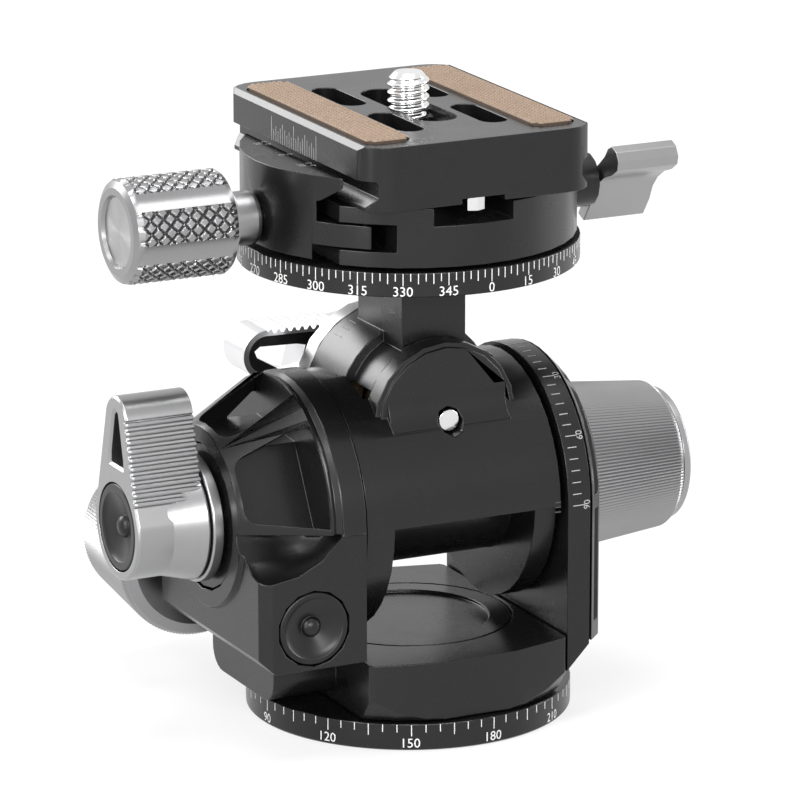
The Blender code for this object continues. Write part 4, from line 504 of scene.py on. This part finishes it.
def dress_nodes():
    for name, item in NODES.items():
        item.data.materials.clear()
        item.data.materials.append(NODE_LOOKS[name])
        item.data.shade_smooth()
        soften(item)


dress_nodes()


# Pieces modelled for their looks

def add_piece(name, body, look, rides, smooth=True):
    data = bpy.data.meshes.new(name)
    bmesh.ops.recalc_face_normals(body, faces=body.faces)
    body.to_mesh(data)
    body.free()
    item = bpy.data.objects.new(name, data)
    bpy.context.scene.collection.objects.link(item)
    data.materials.append(look)
    if smooth:
        data.shade_smooth()
    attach(item, rides)
    return item


def placed(axis, centre):
    return Matrix.Translation(Vector(centre)) @ TURNS[axis]


def turned(profile, axis, centre, steps=DIAL_STEPS, radius_at=None):
    # A profile of (radius, place) points turned about the axis, each point lifted by radius_at
    body = bmesh.new()
    place = placed(axis, centre)
    rows = []
    for index, (radius, along) in enumerate(profile):
        if radius == 0:
            rows.append([body.verts.new(place @ Vector((0, 0, along)))])
            continue
        row = []
        for step in range(steps):
            angle = math.tau * step / steps
            reach = radius_at(index, angle, radius) if radius_at else radius
            row.append(body.verts.new(place @ Vector((
                reach * math.cos(angle), reach * math.sin(angle), along))))
        rows.append(row)
    for lower, upper in zip(rows, rows[1:]):
        for step in range(steps):
            after = (step + 1) % steps
            if len(lower) == 1:
                body.faces.new((lower[0], upper[step], upper[after]))
            elif len(upper) == 1:
                body.faces.new((lower[step], lower[after], upper[0]))
            else:
                body.faces.new((lower[step], lower[after], upper[after], upper[step]))
    return body


def ring_profile(points):
    return points + points[:1]


def break_smooth_edges(item, angle):
    # Breaks the sharp edges of a smooth piece, whose faces keep their own shading
    break_edges(item, angle).harden_normals = True


def add_box(body, place, low, high):
    corners = [Vector((x, y, z)) for x in (low[0], high[0]) for y in (low[1], high[1])
               for z in (low[2], high[2])]
    verts = [body.verts.new(place @ corner) for corner in corners]
    for face in ((0, 1, 3, 2), (4, 6, 7, 5), (0, 4, 5, 1), (2, 3, 7, 6), (0, 2, 6, 4), (1, 5, 7, 3)):
        body.faces.new([verts[index] for index in face])


def text_points(words, height):
    # The outline of plain dial numbers as a flat mesh, centred on its own origin
    curve = bpy.data.curves.new("number", "FONT")
    curve.body = words
    curve.size = height * FONT_SIZE_SHARE
    curve.resolution_u = 3
    item = bpy.data.objects.new("number", curve)
    bpy.context.scene.collection.objects.link(item)
    bpy.context.view_layer.update()
    made = bpy.data.meshes.new_from_object(item.evaluated_get(bpy.context.evaluated_depsgraph_get()))
    bpy.data.objects.remove(item, do_unlink=True)
    points = [vert.co.copy() for vert in made.vertices]
    faces = [tuple(face.vertices) for face in made.polygons]
    bpy.data.meshes.remove(made)
    middle = (min(p.x for p in points) + max(p.x for p in points)) / 2
    low = min(p.y for p in points)
    return [(p.x - middle, p.y - low) for p in points], faces


def add_number(body, words, height, to_place):
    # to_place maps a flat (across, up) point onto the part's surface
    points, faces = text_points(words, height)
    verts = [body.verts.new(to_place(across, up)) for across, up in points]
    for face in faces:
        body.faces.new([verts[index] for index in face])


def round_point(axis, centre, angle, radius, along):
    return placed(axis, centre) @ Vector((radius * math.cos(angle), radius * math.sin(angle), along))


def add_dial(name, rides, radius, top, zero, marks, numbers, lengths, baseline):
    # Ticks that hang from a dial's top edge, with numbers below them
    body = bmesh.new()
    for mark in marks:
        angle = math.radians(mark + zero)
        length = lengths[2]
        if mark % LONG_TICK_EVERY == 0:
            length = lengths[0]
        elif mark % MIDDLE_TICK_EVERY == 0:
            length = lengths[1]
        place = Matrix.Rotation(angle, 4, "Z")
        add_box(body, place, (radius - MARK_SUNK, -MARK_WIDTH / 2, top - length),
                (radius + MARK_PROUD, MARK_WIDTH / 2, top - MARK_WIDTH))
    for number in numbers:
        start = math.radians(number + zero)
        add_number(body, str(number), NUMBER_HEIGHT, lambda across, up: round_point(
            "Z", (0, 0, 0), start + across / radius, radius + MARK_PROUD, baseline + up))
    add_piece(name, body, WHITE, rides, smooth=False)


def add_dials():
    low = BASE_HEIGHT
    rim = turned(ring_profile([
        (BASE_SPINDLE_ROOM, low), (BASE_RADIUS - EDGE_BREAK, low), (BASE_RADIUS, low - EDGE_BREAK),
        (BASE_RADIUS, EDGE_BREAK * 2), (BASE_RADIUS - EDGE_BREAK * 2, 0), (BASE_SPINDLE_ROOM, 0),
    ]), "Z", (0, 0, 0))
    disc = add_piece("base_disc_fine", rim, BLACK, "base")
    break_smooth_edges(disc, DISC_EDGE_DEGREES)
    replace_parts(disc, "base_disc")
    rim = turned(ring_profile([
        (DISC_BORE, DISC_TOP), (DISC_RADIUS - EDGE_BREAK, DISC_TOP), (DISC_RADIUS, DISC_TOP - EDGE_BREAK),
        (DISC_RADIUS, DISC_LOW + EDGE_BREAK), (DISC_RADIUS - EDGE_BREAK, DISC_LOW), (DISC_BORE, DISC_LOW),
    ]), "Z", (0, 0, 0))
    disc = add_piece("upper_disc_fine", rim, BLACK, "roll_body")
    break_smooth_edges(disc, DISC_EDGE_DEGREES)
    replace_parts(disc, "upper_disc")
    add_dial("base_dial", "base", BASE_RADIUS, BASE_HEIGHT, BASE_ZERO,
             range(0, 360, BASE_TICK_STEP), range(0, 360, BASE_NUMBER_STEP), BASE_TICKS, BASE_NUMBER_LOW)
    # Ticks every two and a half degrees
    halves = [half / 2 for half in range(0, 720, 5)]
    add_dial("upper_dial", "roll_body", DISC_RADIUS, DISC_TOP, DISC_ZERO, halves,
             range(0, 360, DISC_NUMBER_STEP), DISC_TICKS, DISC_LOW + DISC_NUMBER_RAISE)


def add_arm_scale():
    body = bmesh.new()
    for mark in range(0, ARM_SCALE_END + 1, ARM_SCALE_STEP):
        angle = math.radians(ARM_SCALE_START + mark)
        length = ARM_MARK_LONG if mark % ARM_NUMBER_STEP == 0 else ARM_MARK_SHORT
        place = placed("X", TILT_AXIS) @ Matrix.Rotation(angle, 4, "Z")
        add_box(body, place, (ARM_RADIUS - MARK_SUNK, -MARK_WIDTH / 2, ARM_MARK_START),
                (ARM_RADIUS + MARK_PROUD, MARK_WIDTH / 2, ARM_MARK_START + length))
    for number in range(0, ARM_SCALE_END + 1, ARM_NUMBER_STEP):
        start = math.radians(ARM_SCALE_START + number)
        add_number(body, str(number), ARM_NUMBER_HEIGHT, lambda across, up: round_point(
            "X", TILT_AXIS, start - across / ARM_RADIUS, ARM_RADIUS + MARK_PROUD,
            ARM_NUMBER_X + ARM_NUMBER_SHIFT - up))
    add_piece("arm_scale", body, GREY, "yoke", smooth=False)


def add_small_marks():
    body = bmesh.new()
    for degrees in ROTOR_MARKS:
        place = Matrix.Translation(Vector(ROLL_AXIS)) @ Matrix.Rotation(math.radians(-degrees), 4, "Y")
        add_box(body, place, (ROTOR_RADIUS - MARK_SUNK, ROTOR_MARK_Y[0], -MARK_WIDTH / 2),
                (ROTOR_RADIUS + MARK_PROUD, ROTOR_MARK_Y[1], MARK_WIDTH / 2))
    add_piece("rotor_marks", body, GREY, "roll_body", smooth=False)
    body = bmesh.new()
    for index in (-1, 0, 1):
        angle = math.radians(180 + index * BARREL_MARK_STEP)
        place = placed("X", TILT_AXIS) @ Matrix.Rotation(angle, 4, "Z")
        add_box(body, place, (BARREL_MARK_LOW, -MARK_WIDTH / 2, BARREL_MARK_X[0]),
                (BARREL_MARK_TOP, MARK_WIDTH / 2, BARREL_MARK_X[1]))
    add_piece("barrel_marks", body, FAINT, "tilt_body", smooth=False)


def ruler_length(index):
    if index % 10 == 0:
        return RULER_LONG
    if index % 10 == 5:
        return RULER_MIDDLE
    return RULER_EVEN if index % 2 == 0 else RULER_ODD


def add_jaw_marks():
    body = bmesh.new()
    height = JAW_TOP + MARK_PROUD
    for words, x, y in JAW_MARKS:
        add_number(body, words, ARM_NUMBER_HEIGHT, lambda across, up: Vector((
            x + JAW_NUMBER_SHIFT - up, y - across, height)))
        for offset in (-JAW_LINE_OFFSET, JAW_LINE_OFFSET) if words == "20" else (0,):
            add_box(body, Matrix.Identity(4), (JAW_LINES_X[0], y + offset, JAW_TOP - MARK_SUNK),
                    (JAW_LINES_X[1], y + offset + MARK_WIDTH, height))
    add_piece("jaw_marks", body, GREY, "jaw", smooth=False)
    body = bmesh.new()
    for index in range(RULER_COUNT):
        y = RULER_HALF - 2 * RULER_HALF * index / (RULER_COUNT - 1)
        add_box(body, Matrix.Identity(4), (RULER_X - MARK_PROUD, y - MARK_WIDTH / 2, RULER_LOW),
                (RULER_X + MARK_SUNK, y + MARK_WIDTH / 2, RULER_LOW + ruler_length(index)))
    add_piece("plate_ruler", body, GREY, "plate", smooth=False)


# Knobs and screws with their knurling and threads

def straight_knob(name, rides, node, axis, centre, near, far, bore):
    # Each row is a radius, a place and whether it is knurled
    length = far - near
    rows = [
        (bore, near, False), (KNOB_START_RADIUS - KNOB_FACE_INSET, near, False),
        (KNOB_START_RADIUS - KNOB_LIP_INSET, near + KNOB_LIP_RISE, False),
        (KNOB_START_RADIUS, near + KNURL_START, True),
    ]
    for index in range(1, KNURL_ROWS + 1):
        share = index / KNURL_ROWS
        radius = KNOB_START_RADIUS + (KNOB_END_RADIUS - KNOB_START_RADIUS) * share
        rows.append((radius, near + KNURL_START + (length - KNURL_MARGINS) * share, True))
    rows += [(KNOB_END_RADIUS - KNOB_END_INSET, far - KNOB_END_DROP, False),
             (KNOB_END_RADIUS - KNOB_END_FACE_INSET, far, False), (0, far, False)]

    def ridge(index, angle, radius):
        if not rows[index][2]:
            return radius
        phase = angle * KNURL_TEETH / math.tau % 1
        return radius - KNURL_DEPTH * abs(phase * 2 - 1)

    body = turned([row[:2] for row in rows], axis, centre, KNURL_TEETH * 4, ridge)
    item = add_piece(name, body, KNOB_SILVER, rides, smooth=False)
    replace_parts(item, node)


def end_ring(name, rides, node, axis, centre, start):
    end = start + KNOB_RING_LENGTH
    rim = KNOB_RING_RADIUS
    body = turned([
        (0, start), (rim, start), (rim, end - RING_CHAMFER), (rim - RING_CHAMFER, end),
        (rim - RING_LIP, end), (rim - RING_LIP_FOOT, end - RING_DISH),
        (rim * RING_CORE_SHARE, end - RING_DISH),
        (rim * RING_CORE_FOOT_SHARE, end - RING_CORE_DEPTH), (0, end - RING_CORE_DEPTH),
    ], axis, centre, RING_STEPS)
    item = add_piece(name, body, SILVER, rides)
    break_smooth_edges(item, DISC_EDGE_DEGREES)
    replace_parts(item, node)


def clamp_knob_rows(start, stop):
    # Each row is a radius, a place and whether it has diamonds
    near = CLAMP_KNOB_NEAR
    far = CLAMP_KNOB_FAR
    rim = CLAMP_KNOB_RADIUS
    shaft = CLAMP_SHAFT_RADIUS
    rows = [(CLAMP_SHAFT_BORE, CLAMP_SHAFT_END, False)]
    rows += [(shaft + out, CLAMP_SHAFT_END + along, False) for out, along in CLAMP_SHAFT_NOSE]
    rows += [(shaft + out, near + along, False) for out, along in CLAMP_NECK_STEPS]
    rows += [(rim + out, near + along, False) for out, along in CLAMP_SHOULDER_STEPS]
    for index in range(DIAMOND_ROWS + 1):
        rows.append((rim, start + (stop - start) * index / DIAMOND_ROWS, True))
    rows += [(rim + out, far + along, False) for out, along in CLAMP_END_STEPS]
    rows += [(CLAMP_KNOB_FACE, far, False),
             (CLAMP_KNOB_FACE - CLAMP_FACE_TAPER, far + CLAMP_FACE_DEPTH, False),
             (0, far + CLAMP_FACE_DEPTH, False)]
    return rows


def diamond_knob():
    rim = CLAMP_KNOB_RADIUS
    start = CLAMP_KNOB_NEAR - DIAMOND_MARGIN
    stop = CLAMP_KNOB_FAR + DIAMOND_MARGIN
    rows = clamp_knob_rows(start, stop)
    pitch = math.tau * rim / DIAMOND_COUNT

    def diamonds(index, angle, radius):
        if not rows[index][2]:
            return radius
        flute = ((angle - FLUTE_TURN) * FLUTE_COUNT / math.tau + 0.5) % 1 - 0.5
        if abs(flute) < FLUTE_HALF_SHARE:
            lift = 1 - (flute / FLUTE_HALF_SHARE) ** 2
            return radius - DIAMOND_DEPTH * (FLUTE_EDGE_SHARE + FLUTE_LIFT_SHARE * lift)
        across = angle * rim / pitch
        along = rows[index][1] / pitch
        first = abs((across + along) % 1 * 2 - 1)
        second = abs((across - along) % 1 * 2 - 1)
        near_line = min(1 - first, 1 - second)
        return radius - DIAMOND_DEPTH * max(0.0, 1 - near_line * DIAMOND_STEEPNESS)

    body = turned([row[:2] for row in rows], "X", CLAMP_SCREW_AXIS, DIAMOND_COUNT * DIAMOND_STEPS, diamonds)
    item = add_piece("clamp_knob_fine", body, KNOB_SILVER, "jaw_drive", smooth=False)
    # The deep faces of the knurl's grooves take a near-black material as painted shade
    item.data.materials.append(GROOVE_SHADE)
    axis = Vector(CLAMP_SCREW_AXIS)
    for face in item.data.polygons:
        away = Vector(face.center) - axis
        deep = rim - math.hypot(away.y, away.z) > DIAMOND_DEPTH * GROOVE_DEPTH_SHARE
        if stop < away.x < start and deep and face.normal.x ** 2 > GROOVE_LEAN:
            face.material_index = 1
    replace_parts(item, "clamp_knob")
    place = CLAMP_KNOB_FAR + CLAMP_DISC_DEPTH
    disc = turned([(0, place), (CLAMP_KNOB_FACE - CLAMP_FACE_TAPER, place)], "X", CLAMP_SCREW_AXIS,
                  RING_STEPS)
    add_piece("clamp_knob_face", disc, SPUN, "jaw_drive")


def thread_radius(row, along):
    # A round thread that ends in a cone at the top
    depth = SCREW_DEPTH * (0.5 - 0.5 * math.cos(math.tau * row / THREAD_ROWS))
    cone = max(0, (along - (SCREW_TOP - SCREW_CONE)) / SCREW_CONE)
    if along >= SCREW_TOP:
        return SCREW_NOSE
    if along <= SCREW_HEAD_TOP:
        return SCREW_RADIUS
    return SCREW_RADIUS - max(depth, (SCREW_RADIUS - SCREW_NOSE) * cone)


def camera_thread():
    # The mesh's lines follow the helix, and rows past either end are drawn in to it
    low = SCREW_HEAD_TOP
    body = bmesh.new()
    last = int((SCREW_TOP - low) / SCREW_PITCH * THREAD_ROWS) + 2
    grid = {}
    for column in range(ROUND_STEPS):
        angle = math.tau * column / ROUND_STEPS
        for row in range(-THREAD_ROWS, last + 1):
            along = low + SCREW_PITCH * (row / THREAD_ROWS + column / ROUND_STEPS)
            along = min(max(along, low), SCREW_TOP)
            radius = thread_radius(row, along)
            grid[column, row] = body.verts.new((radius * math.cos(angle), radius * math.sin(angle), along))
    for column in range(ROUND_STEPS):
        after = (column + 1) % ROUND_STEPS
        shift = THREAD_ROWS if after == 0 else 0
        for row in range(-THREAD_ROWS, last - shift):
            body.faces.new((grid[column, row], grid[after, row + shift], grid[after, row + shift + 1],
                            grid[column, row + 1]))
    bmesh.ops.remove_doubles(body, verts=body.verts, dist=TOUCHING)
    head = turned([
        (0, SCREW_HEAD_LOW), (SCREW_HEAD_RADIUS, SCREW_HEAD_LOW),
        (SCREW_HEAD_RADIUS, low - SCREW_HEAD_STEP), (SCREW_RADIUS, low),
    ], "Z", (0, 0, 0), ROUND_STEPS)
    nose = turned([(SCREW_NOSE, SCREW_TOP), (SCREW_NOSE / 2, SCREW_TOP), (0, SCREW_TOP)], "Z", (0, 0, 0),
                  ROUND_STEPS)
    for end in (head, nose):
        mesh = bpy.data.meshes.new("thread_end")
        end.to_mesh(mesh)
        end.free()
        body.from_mesh(mesh)
    item = add_piece("camera_screw_fine", body, CHROME, "thumb_screw")
    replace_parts(item, "camera_screw")


# Levers: a body with ribs on one flank, a seat for its cap and a window. The rear lever also has a
# recess in its inner face, with a black sheet on its floor as painted shade.

def lever_outline(ribs, shrink=0.0):
    # Counter-clockwise from the ribbed flank's foot; ribs are rounded ridges along that flank
    lean = math.asin((LEVER_HUB - LEVER_TIP) / LEVER_REACH)
    inner_hub = LEVER_HUB - shrink
    inner_tip = LEVER_TIP - shrink
    flank = math.asin((inner_hub - inner_tip) / LEVER_REACH)
    normal = Vector((math.cos(flank), math.sin(flank)))
    start = normal * inner_hub
    end = Vector((0, LEVER_REACH)) + normal * inner_tip
    span = (end - start).length
    along = (end - start) / span
    points = [start]
    first = span * LEVER_RIB_START_SHARE
    for index in range(ribs):
        pitch = (span - first) / ribs
        low = first + pitch * index
        for share, lift in LEVER_RIB_SHARES:
            points.append(start + along * (low + pitch * share) + normal * LEVER_RIB_RISE * lift)
    points.append(end)
    for index in range(1, LEVER_TIP_STEPS):
        angle = lean + (math.pi - 2 * lean) * index / LEVER_TIP_STEPS
        points.append(Vector((0, LEVER_REACH)) + inner_tip * Vector((math.cos(angle), math.sin(angle))))
    for index in range(LEVER_HUB_STEPS):
        angle = math.pi - lean + (math.pi + 2 * lean) * index / LEVER_HUB_STEPS
        points.append(inner_hub * Vector((math.cos(angle), math.sin(angle))))
    return points


def outline_loop(body, place, points, along):
    # Corners of a flat outline, at one place along the lever's own axis
    return [body.verts.new(place @ Vector((point[0], point[1], along))) for point in points]


def wall(body, first, second):
    # Joins two outlines with as many corners
    for index in range(len(first)):
        after = (index + 1) % len(first)
        body.faces.new((first[index], first[after], second[after], second[index]))


def capped(body, *loops):
    # Fills the flat region between an outline and its hole
    edges = []
    for one in loops:
        for index in range(len(one)):
            pair = (one[index], one[(index + 1) % len(one)])
            edges.append(body.edges.get(pair) or body.edges.new(pair))
    bmesh.ops.triangle_fill(body, edges=edges, use_beauty=True)


def add_lever(name, rides, node, place, faces, look, recess=0):
    # faces are the outer and inner side along its own axis; recess is the depth of the inner hollow
    outer, inner = faces
    side = 1 if outer > inner else -1
    brow = outer - side * LEVER_CHAMFER
    floor = inner + side * recess
    hollow = lever_outline(0, LEVER_RIM)
    middle = sum((Vector(point) for point in LEVER_WINDOW), Vector((0, 0))) / len(LEVER_WINDOW)
    wide_window = [middle + (Vector(point) - middle) * LEVER_WINDOW_BROW_SHARE for point in LEVER_WINDOW]
    turns = [math.tau * step / LEVER_SEAT_STEPS for step in range(LEVER_SEAT_STEPS)]
    seat = [(LEVER_SEAT * math.cos(turn), LEVER_SEAT * math.sin(turn)) for turn in turns]
    body = bmesh.new()
    outer_edge = outline_loop(body, place, lever_outline(LEVER_RIBS), brow)
    outer_brow = outline_loop(body, place, lever_outline(LEVER_RIBS, LEVER_CHAMFER), outer)
    window_brow = outline_loop(body, place, wide_window, outer)
    window_edge = outline_loop(body, place, LEVER_WINDOW, brow)
    back_edge = outline_loop(body, place, lever_outline(LEVER_RIBS), inner)
    window_back = outline_loop(body, place, LEVER_WINDOW, floor)
    wall(body, outer_edge, outer_brow)
    seat_edge = outline_loop(body, place, seat, outer)
    seat_low = outline_loop(body, place, seat, outer - side * LEVER_SEAT_DEPTH)
    capped(body, outer_brow, window_brow, seat_edge)
    wall(body, seat_edge, seat_low)
    wall(body, window_brow, window_edge)
    wall(body, window_edge, window_back)
    wall(body, outer_edge, back_edge)
    if recess:
        hollow_top = outline_loop(body, place, hollow, inner)
        hollow_low = outline_loop(body, place, hollow, floor)
        capped(body, back_edge, hollow_top)
        wall(body, hollow_top, hollow_low)
        capped(body, hollow_low, window_back)
    else:
        capped(body, back_edge, window_back)
    item = add_piece(name, body, look, rides)
    break_smooth_edges(item, LEVER_EDGE_DEGREES)
    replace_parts(item, node)
    if recess:
        # A black sheet just above the recess floor, painted shade in the hollow
        body = bmesh.new()
        high = floor - side * RECESS_PROUD
        capped(body, outline_loop(body, place, hollow, high), outline_loop(body, place, LEVER_WINDOW, high))
        add_piece(name + "_painted_shade", body, DEEP_BLACK, rides, smooth=False)


def add_neck(name, profile):
    item = add_piece(name, turned(profile, "X", TILT_AXIS, RING_STEPS), SILVER, "tilt_release")
    break_smooth_edges(item, LEVER_EDGE_DEGREES)
    return item


# Dished caps and rubber strips

def dished_cap(name, rides, node, axis, centre, sizes):
    # The face is the outer side, and the back lies behind it
    face, back, rim, dish, dome, depth = sizes
    side = 1 if face > back else -1
    floor = face - side * depth
    points = [(0, back), (rim, back), (rim, face - side * CAP_LIP), (rim - CAP_LIP, face),
              (dish + CAP_LIP, face), (dish, face - side * CAP_LIP)]
    for index in range(1, CAP_SLOPE_ROWS + 1):
        share = index / CAP_SLOPE_ROWS
        drop = CAP_STEP_SHARES[0] + CAP_STEP_SHARES[1] * share
        points.append((dish + (dome - dish) * share, face + (floor - face) * drop))
    for index in range(1, CAP_DOME_ROWS + 1):
        angle = math.radians(90 * index / CAP_DOME_ROWS)
        points.append((dome * math.cos(angle) * CAP_DOME_SHARE,
                       floor + side * depth * CAP_RISE_SHARE * math.sin(angle)))
    points[-1] = (0, points[-1][1])
    item = add_piece(name, turned(points, axis, centre, ROUND_STEPS), DEEP_BLACK, rides)
    break_smooth_edges(item, CAP_EDGE_DEGREES)
    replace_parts(item, node)


def rounded_outline(low, high, radius):
    corners = (((high[0] - radius, high[1] - radius), 0), ((low[0] + radius, high[1] - radius), 90),
               ((low[0] + radius, low[1] + radius), 180), ((high[0] - radius, low[1] + radius), 270))
    points = []
    for corner, start in corners:
        for index in range(STRIP_CORNER_STEPS + 1):
            angle = math.radians(start + 90 * index / STRIP_CORNER_STEPS)
            points.append((corner[0] + radius * math.cos(angle), corner[1] + radius * math.sin(angle)))
    return points


def inside(point, low, high, radius):
    x = min(max(point[0], low[0] + radius), high[0] - radius)
    y = min(max(point[1], low[1] + radius), high[1] - radius)
    return math.hypot(point[0] - x, point[1] - y) <= radius


def studded_strip(name, sign):
    low = (min(STRIP_INNER * sign, STRIP_OUTER * sign), -STRIP_HALF_LENGTH)
    high = (max(STRIP_INNER * sign, STRIP_OUTER * sign), STRIP_HALF_LENGTH)
    outline = rounded_outline(low, high, STRIP_CORNER)
    body = bmesh.new()
    lower = [body.verts.new((x, y, STRIP_LOW)) for x, y in outline]
    upper = [body.verts.new((x, y, STRIP_TOP)) for x, y in outline]
    for index in range(len(outline)):
        after = (index + 1) % len(outline)
        body.faces.new((lower[index], lower[after], upper[after], upper[index]))
    body.faces.new(upper)
    body.faces.new(lower[::-1])
    across = int((high[0] - low[0]) / STRIP_STUD)
    along = int((high[1] - low[1]) / STRIP_STUD)
    half = STRIP_STUD * STUD_HALF_SHARE
    for column in range(across):
        for row in range(along):
            x = (low[0] + high[0]) / 2 + (column - (across - 1) / 2) * STRIP_STUD
            y = (row - (along - 1) / 2) * STRIP_STUD
            if not inside((x, y), low, high, STRIP_CORNER):
                continue
            base = [body.verts.new((x + half * a, y + half * b, STRIP_TOP - STUD_SUNK)) for a, b in SQUARE]
            top = [body.verts.new((x + half * a * STUD_TOP_SHARE, y + half * b * STUD_TOP_SHARE,
                                   STRIP_TOP + STRIP_STUD_RISE)) for a, b in SQUARE]
            body.faces.new(base[::-1])
            body.faces.new(top)
            for index in range(4):
                after = (index + 1) % 4
                body.faces.new((base[index], base[after], top[after], top[index]))
    item = add_piece(name + "_fine", body, TAN, "plate", smooth=False)
    # The strip's floor between the studs, the studs' feet and the strip's sides and underside take the
    # darker tan as painted shade
    item.data.materials.append(TAN_SHADE)
    for face in item.data.polygons:
        if face.center.z < STRIP_TOP + STRIP_STUD_RISE * STUD_SHADE_SHARE:
            face.material_index = 1
    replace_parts(item, name)


add_dials()
add_arm_scale()
add_small_marks()
add_jaw_marks()
straight_knob("roll_knob_fine", "roll_drive", "roll_knob", "X", TILT_AXIS,
              ROLL_KNOB_NEAR, ROLL_KNOB_FAR, ROLL_KNOB_BORE)
straight_knob("tilt_knob_fine", "tilt_drive", "tilt_knob", "Y", TILT_WORM_AXIS,
              TILT_KNOB_NEAR, TILT_KNOB_FAR, TILT_KNOB_BORE)
end_ring("roll_knob_ring_fine", "roll_drive", "roll_knob_ring", "X", TILT_AXIS,
         ROLL_KNOB_FAR + KNOB_RING_GAP)
end_ring("tilt_knob_ring_fine", "tilt_drive", "tilt_knob_ring", "Y", TILT_WORM_AXIS,
         TILT_KNOB_FAR + KNOB_RING_GAP)
diamond_knob()
camera_thread()
MIRROR = Matrix.Scale(-1, 4, (1, 0, 0))
add_lever("tilt_lever_fine", "tilt_release", "tilt_lever", placed("X", TILT_AXIS) @ MIRROR,
          TILT_LEVER_FACES, SILVER)
# The roll lever takes the lighter copy of the silver as painted light
add_lever("roll_lever_fine", "roll_release", "roll_lever",
          placed("Y", ROLL_AXIS) @ Matrix.Rotation(math.pi + ROLL_LEVER_LEAN, 4, "Z") @ MIRROR,
          ROLL_LEVER_FACES, LIT_SILVER, ROLL_RECESS)
add_neck("tilt_lever_neck", TILT_NECK)
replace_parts(add_neck("tilt_lever_collar_fine", TILT_COLLAR), "tilt_lever_collar")
dished_cap("worm_end_cap_fine", "yoke", "worm_end_cap", "Y", TILT_WORM_AXIS, WORM_CAP)
dished_cap("tilt_lever_cap_fine", "tilt_release", "tilt_lever_cap", "X", TILT_AXIS, TILT_LEVER_CAP)
dished_cap("roll_lever_cap_fine", "roll_release", "roll_lever_cap", "Y", ROLL_AXIS, ROLL_LEVER_CAP)
studded_strip("grip_strip_left", -1)
studded_strip("grip_strip_right", 1)


# Stage: camera, lamps, floor and world

def add_camera():
    data = bpy.data.cameras.new("camera")
    data.sensor_width = SENSOR_MM
    data.lens = FOCAL_PIXELS * SENSOR_MM / IMAGE_PIXELS
    data.clip_start = CLIP_START
    item = bpy.data.objects.new("camera", data)
    bpy.context.scene.collection.objects.link(item)
    away = Vector((
        math.sin(CAMERA_AZIMUTH) * math.cos(CAMERA_ELEVATION),
        -math.cos(CAMERA_AZIMUTH) * math.cos(CAMERA_ELEVATION),
        math.sin(CAMERA_ELEVATION),
    ))
    item.rotation_euler = away.to_track_quat("Z", "Y").to_euler()
    item.location = CAMERA_PLACE
    bpy.context.scene.camera = item


def add_lamp(name, place, size, power):
    data = bpy.data.lights.new(name, "AREA")
    data.shape = "RECTANGLE"
    data.size = size[0]
    data.size_y = size[1]
    data.energy = power
    item = bpy.data.objects.new(name, data)
    bpy.context.scene.collection.objects.link(item)
    item.location = place
    item.rotation_euler = (Vector(place) - Vector(LAMP_TARGET)).to_track_quat("Z", "Y").to_euler()


def seeing_rays(tree):
    # 1 for camera, glossy and transmission rays, else 0
    rays = tree.nodes.new("ShaderNodeLightPath")
    total = rays.outputs["Is Camera Ray"]
    for name in ("Is Glossy Ray", "Is Transmission Ray"):
        add = tree.nodes.new("ShaderNodeMath")
        add.use_clamp = True
        tree.links.new(total, add.inputs[0])
        tree.links.new(rays.outputs[name], add.inputs[1])
        total = add.outputs["Value"]
    return total


def add_world():
    world = bpy.data.worlds.new("studio")
    bpy.context.scene.world = world
    world.use_nodes = True
    tree = world.node_tree
    back = tree.nodes["Background"]
    level = tree.nodes.new("ShaderNodeMapRange")
    level.inputs["To Min"].default_value = WORLD_FILL
    level.inputs["To Max"].default_value = 1.0
    tree.links.new(seeing_rays(tree), level.inputs["Value"])
    tree.links.new(level.outputs["Result"], back.inputs["Strength"])
    back.inputs["Color"].default_value = (1, 1, 1, 1)


def add_floor():
    # White where the camera or a reflection sees it, and still dark enough to hold the shadow
    body = bmesh.new()
    bmesh.ops.create_grid(body, x_segments=1, y_segments=1, size=FLOOR_HALF)
    data = bpy.data.meshes.new("floor")
    body.to_mesh(data)
    body.free()
    item = bpy.data.objects.new("floor", data)
    bpy.context.scene.collection.objects.link(item)
    item.location = (0, 0, -FLOOR_DROP)
    made, shader = new_material("floor_white", (FLOOR_WHITE, FLOOR_WHITE, FLOOR_WHITE), 0.6)
    output = made.node_tree.nodes["Material Output"]
    glow = add_node(made, "ShaderNodeEmission", Strength=1.0)
    share = add_node(made, "ShaderNodeMath", operation="MULTIPLY")
    share.inputs[1].default_value = FLOOR_GLOW_SHARE
    mix = add_node(made, "ShaderNodeMixShader")
    link(made, seeing_rays(made.node_tree), share.inputs[0])
    link(made, share.outputs["Value"], mix.inputs["Fac"])
    link(made, shader.outputs["BSDF"], mix.inputs[1])
    link(made, glow.outputs["Emission"], mix.inputs[2])
    link(made, mix.outputs["Shader"], output.inputs["Surface"])
    item.data.materials.append(made)


add_camera()
add_world()
add_floor()
for lamp in LAMPS:
    add_lamp(*lamp)

bpy.context.scene.view_settings.view_transform = "Standard"
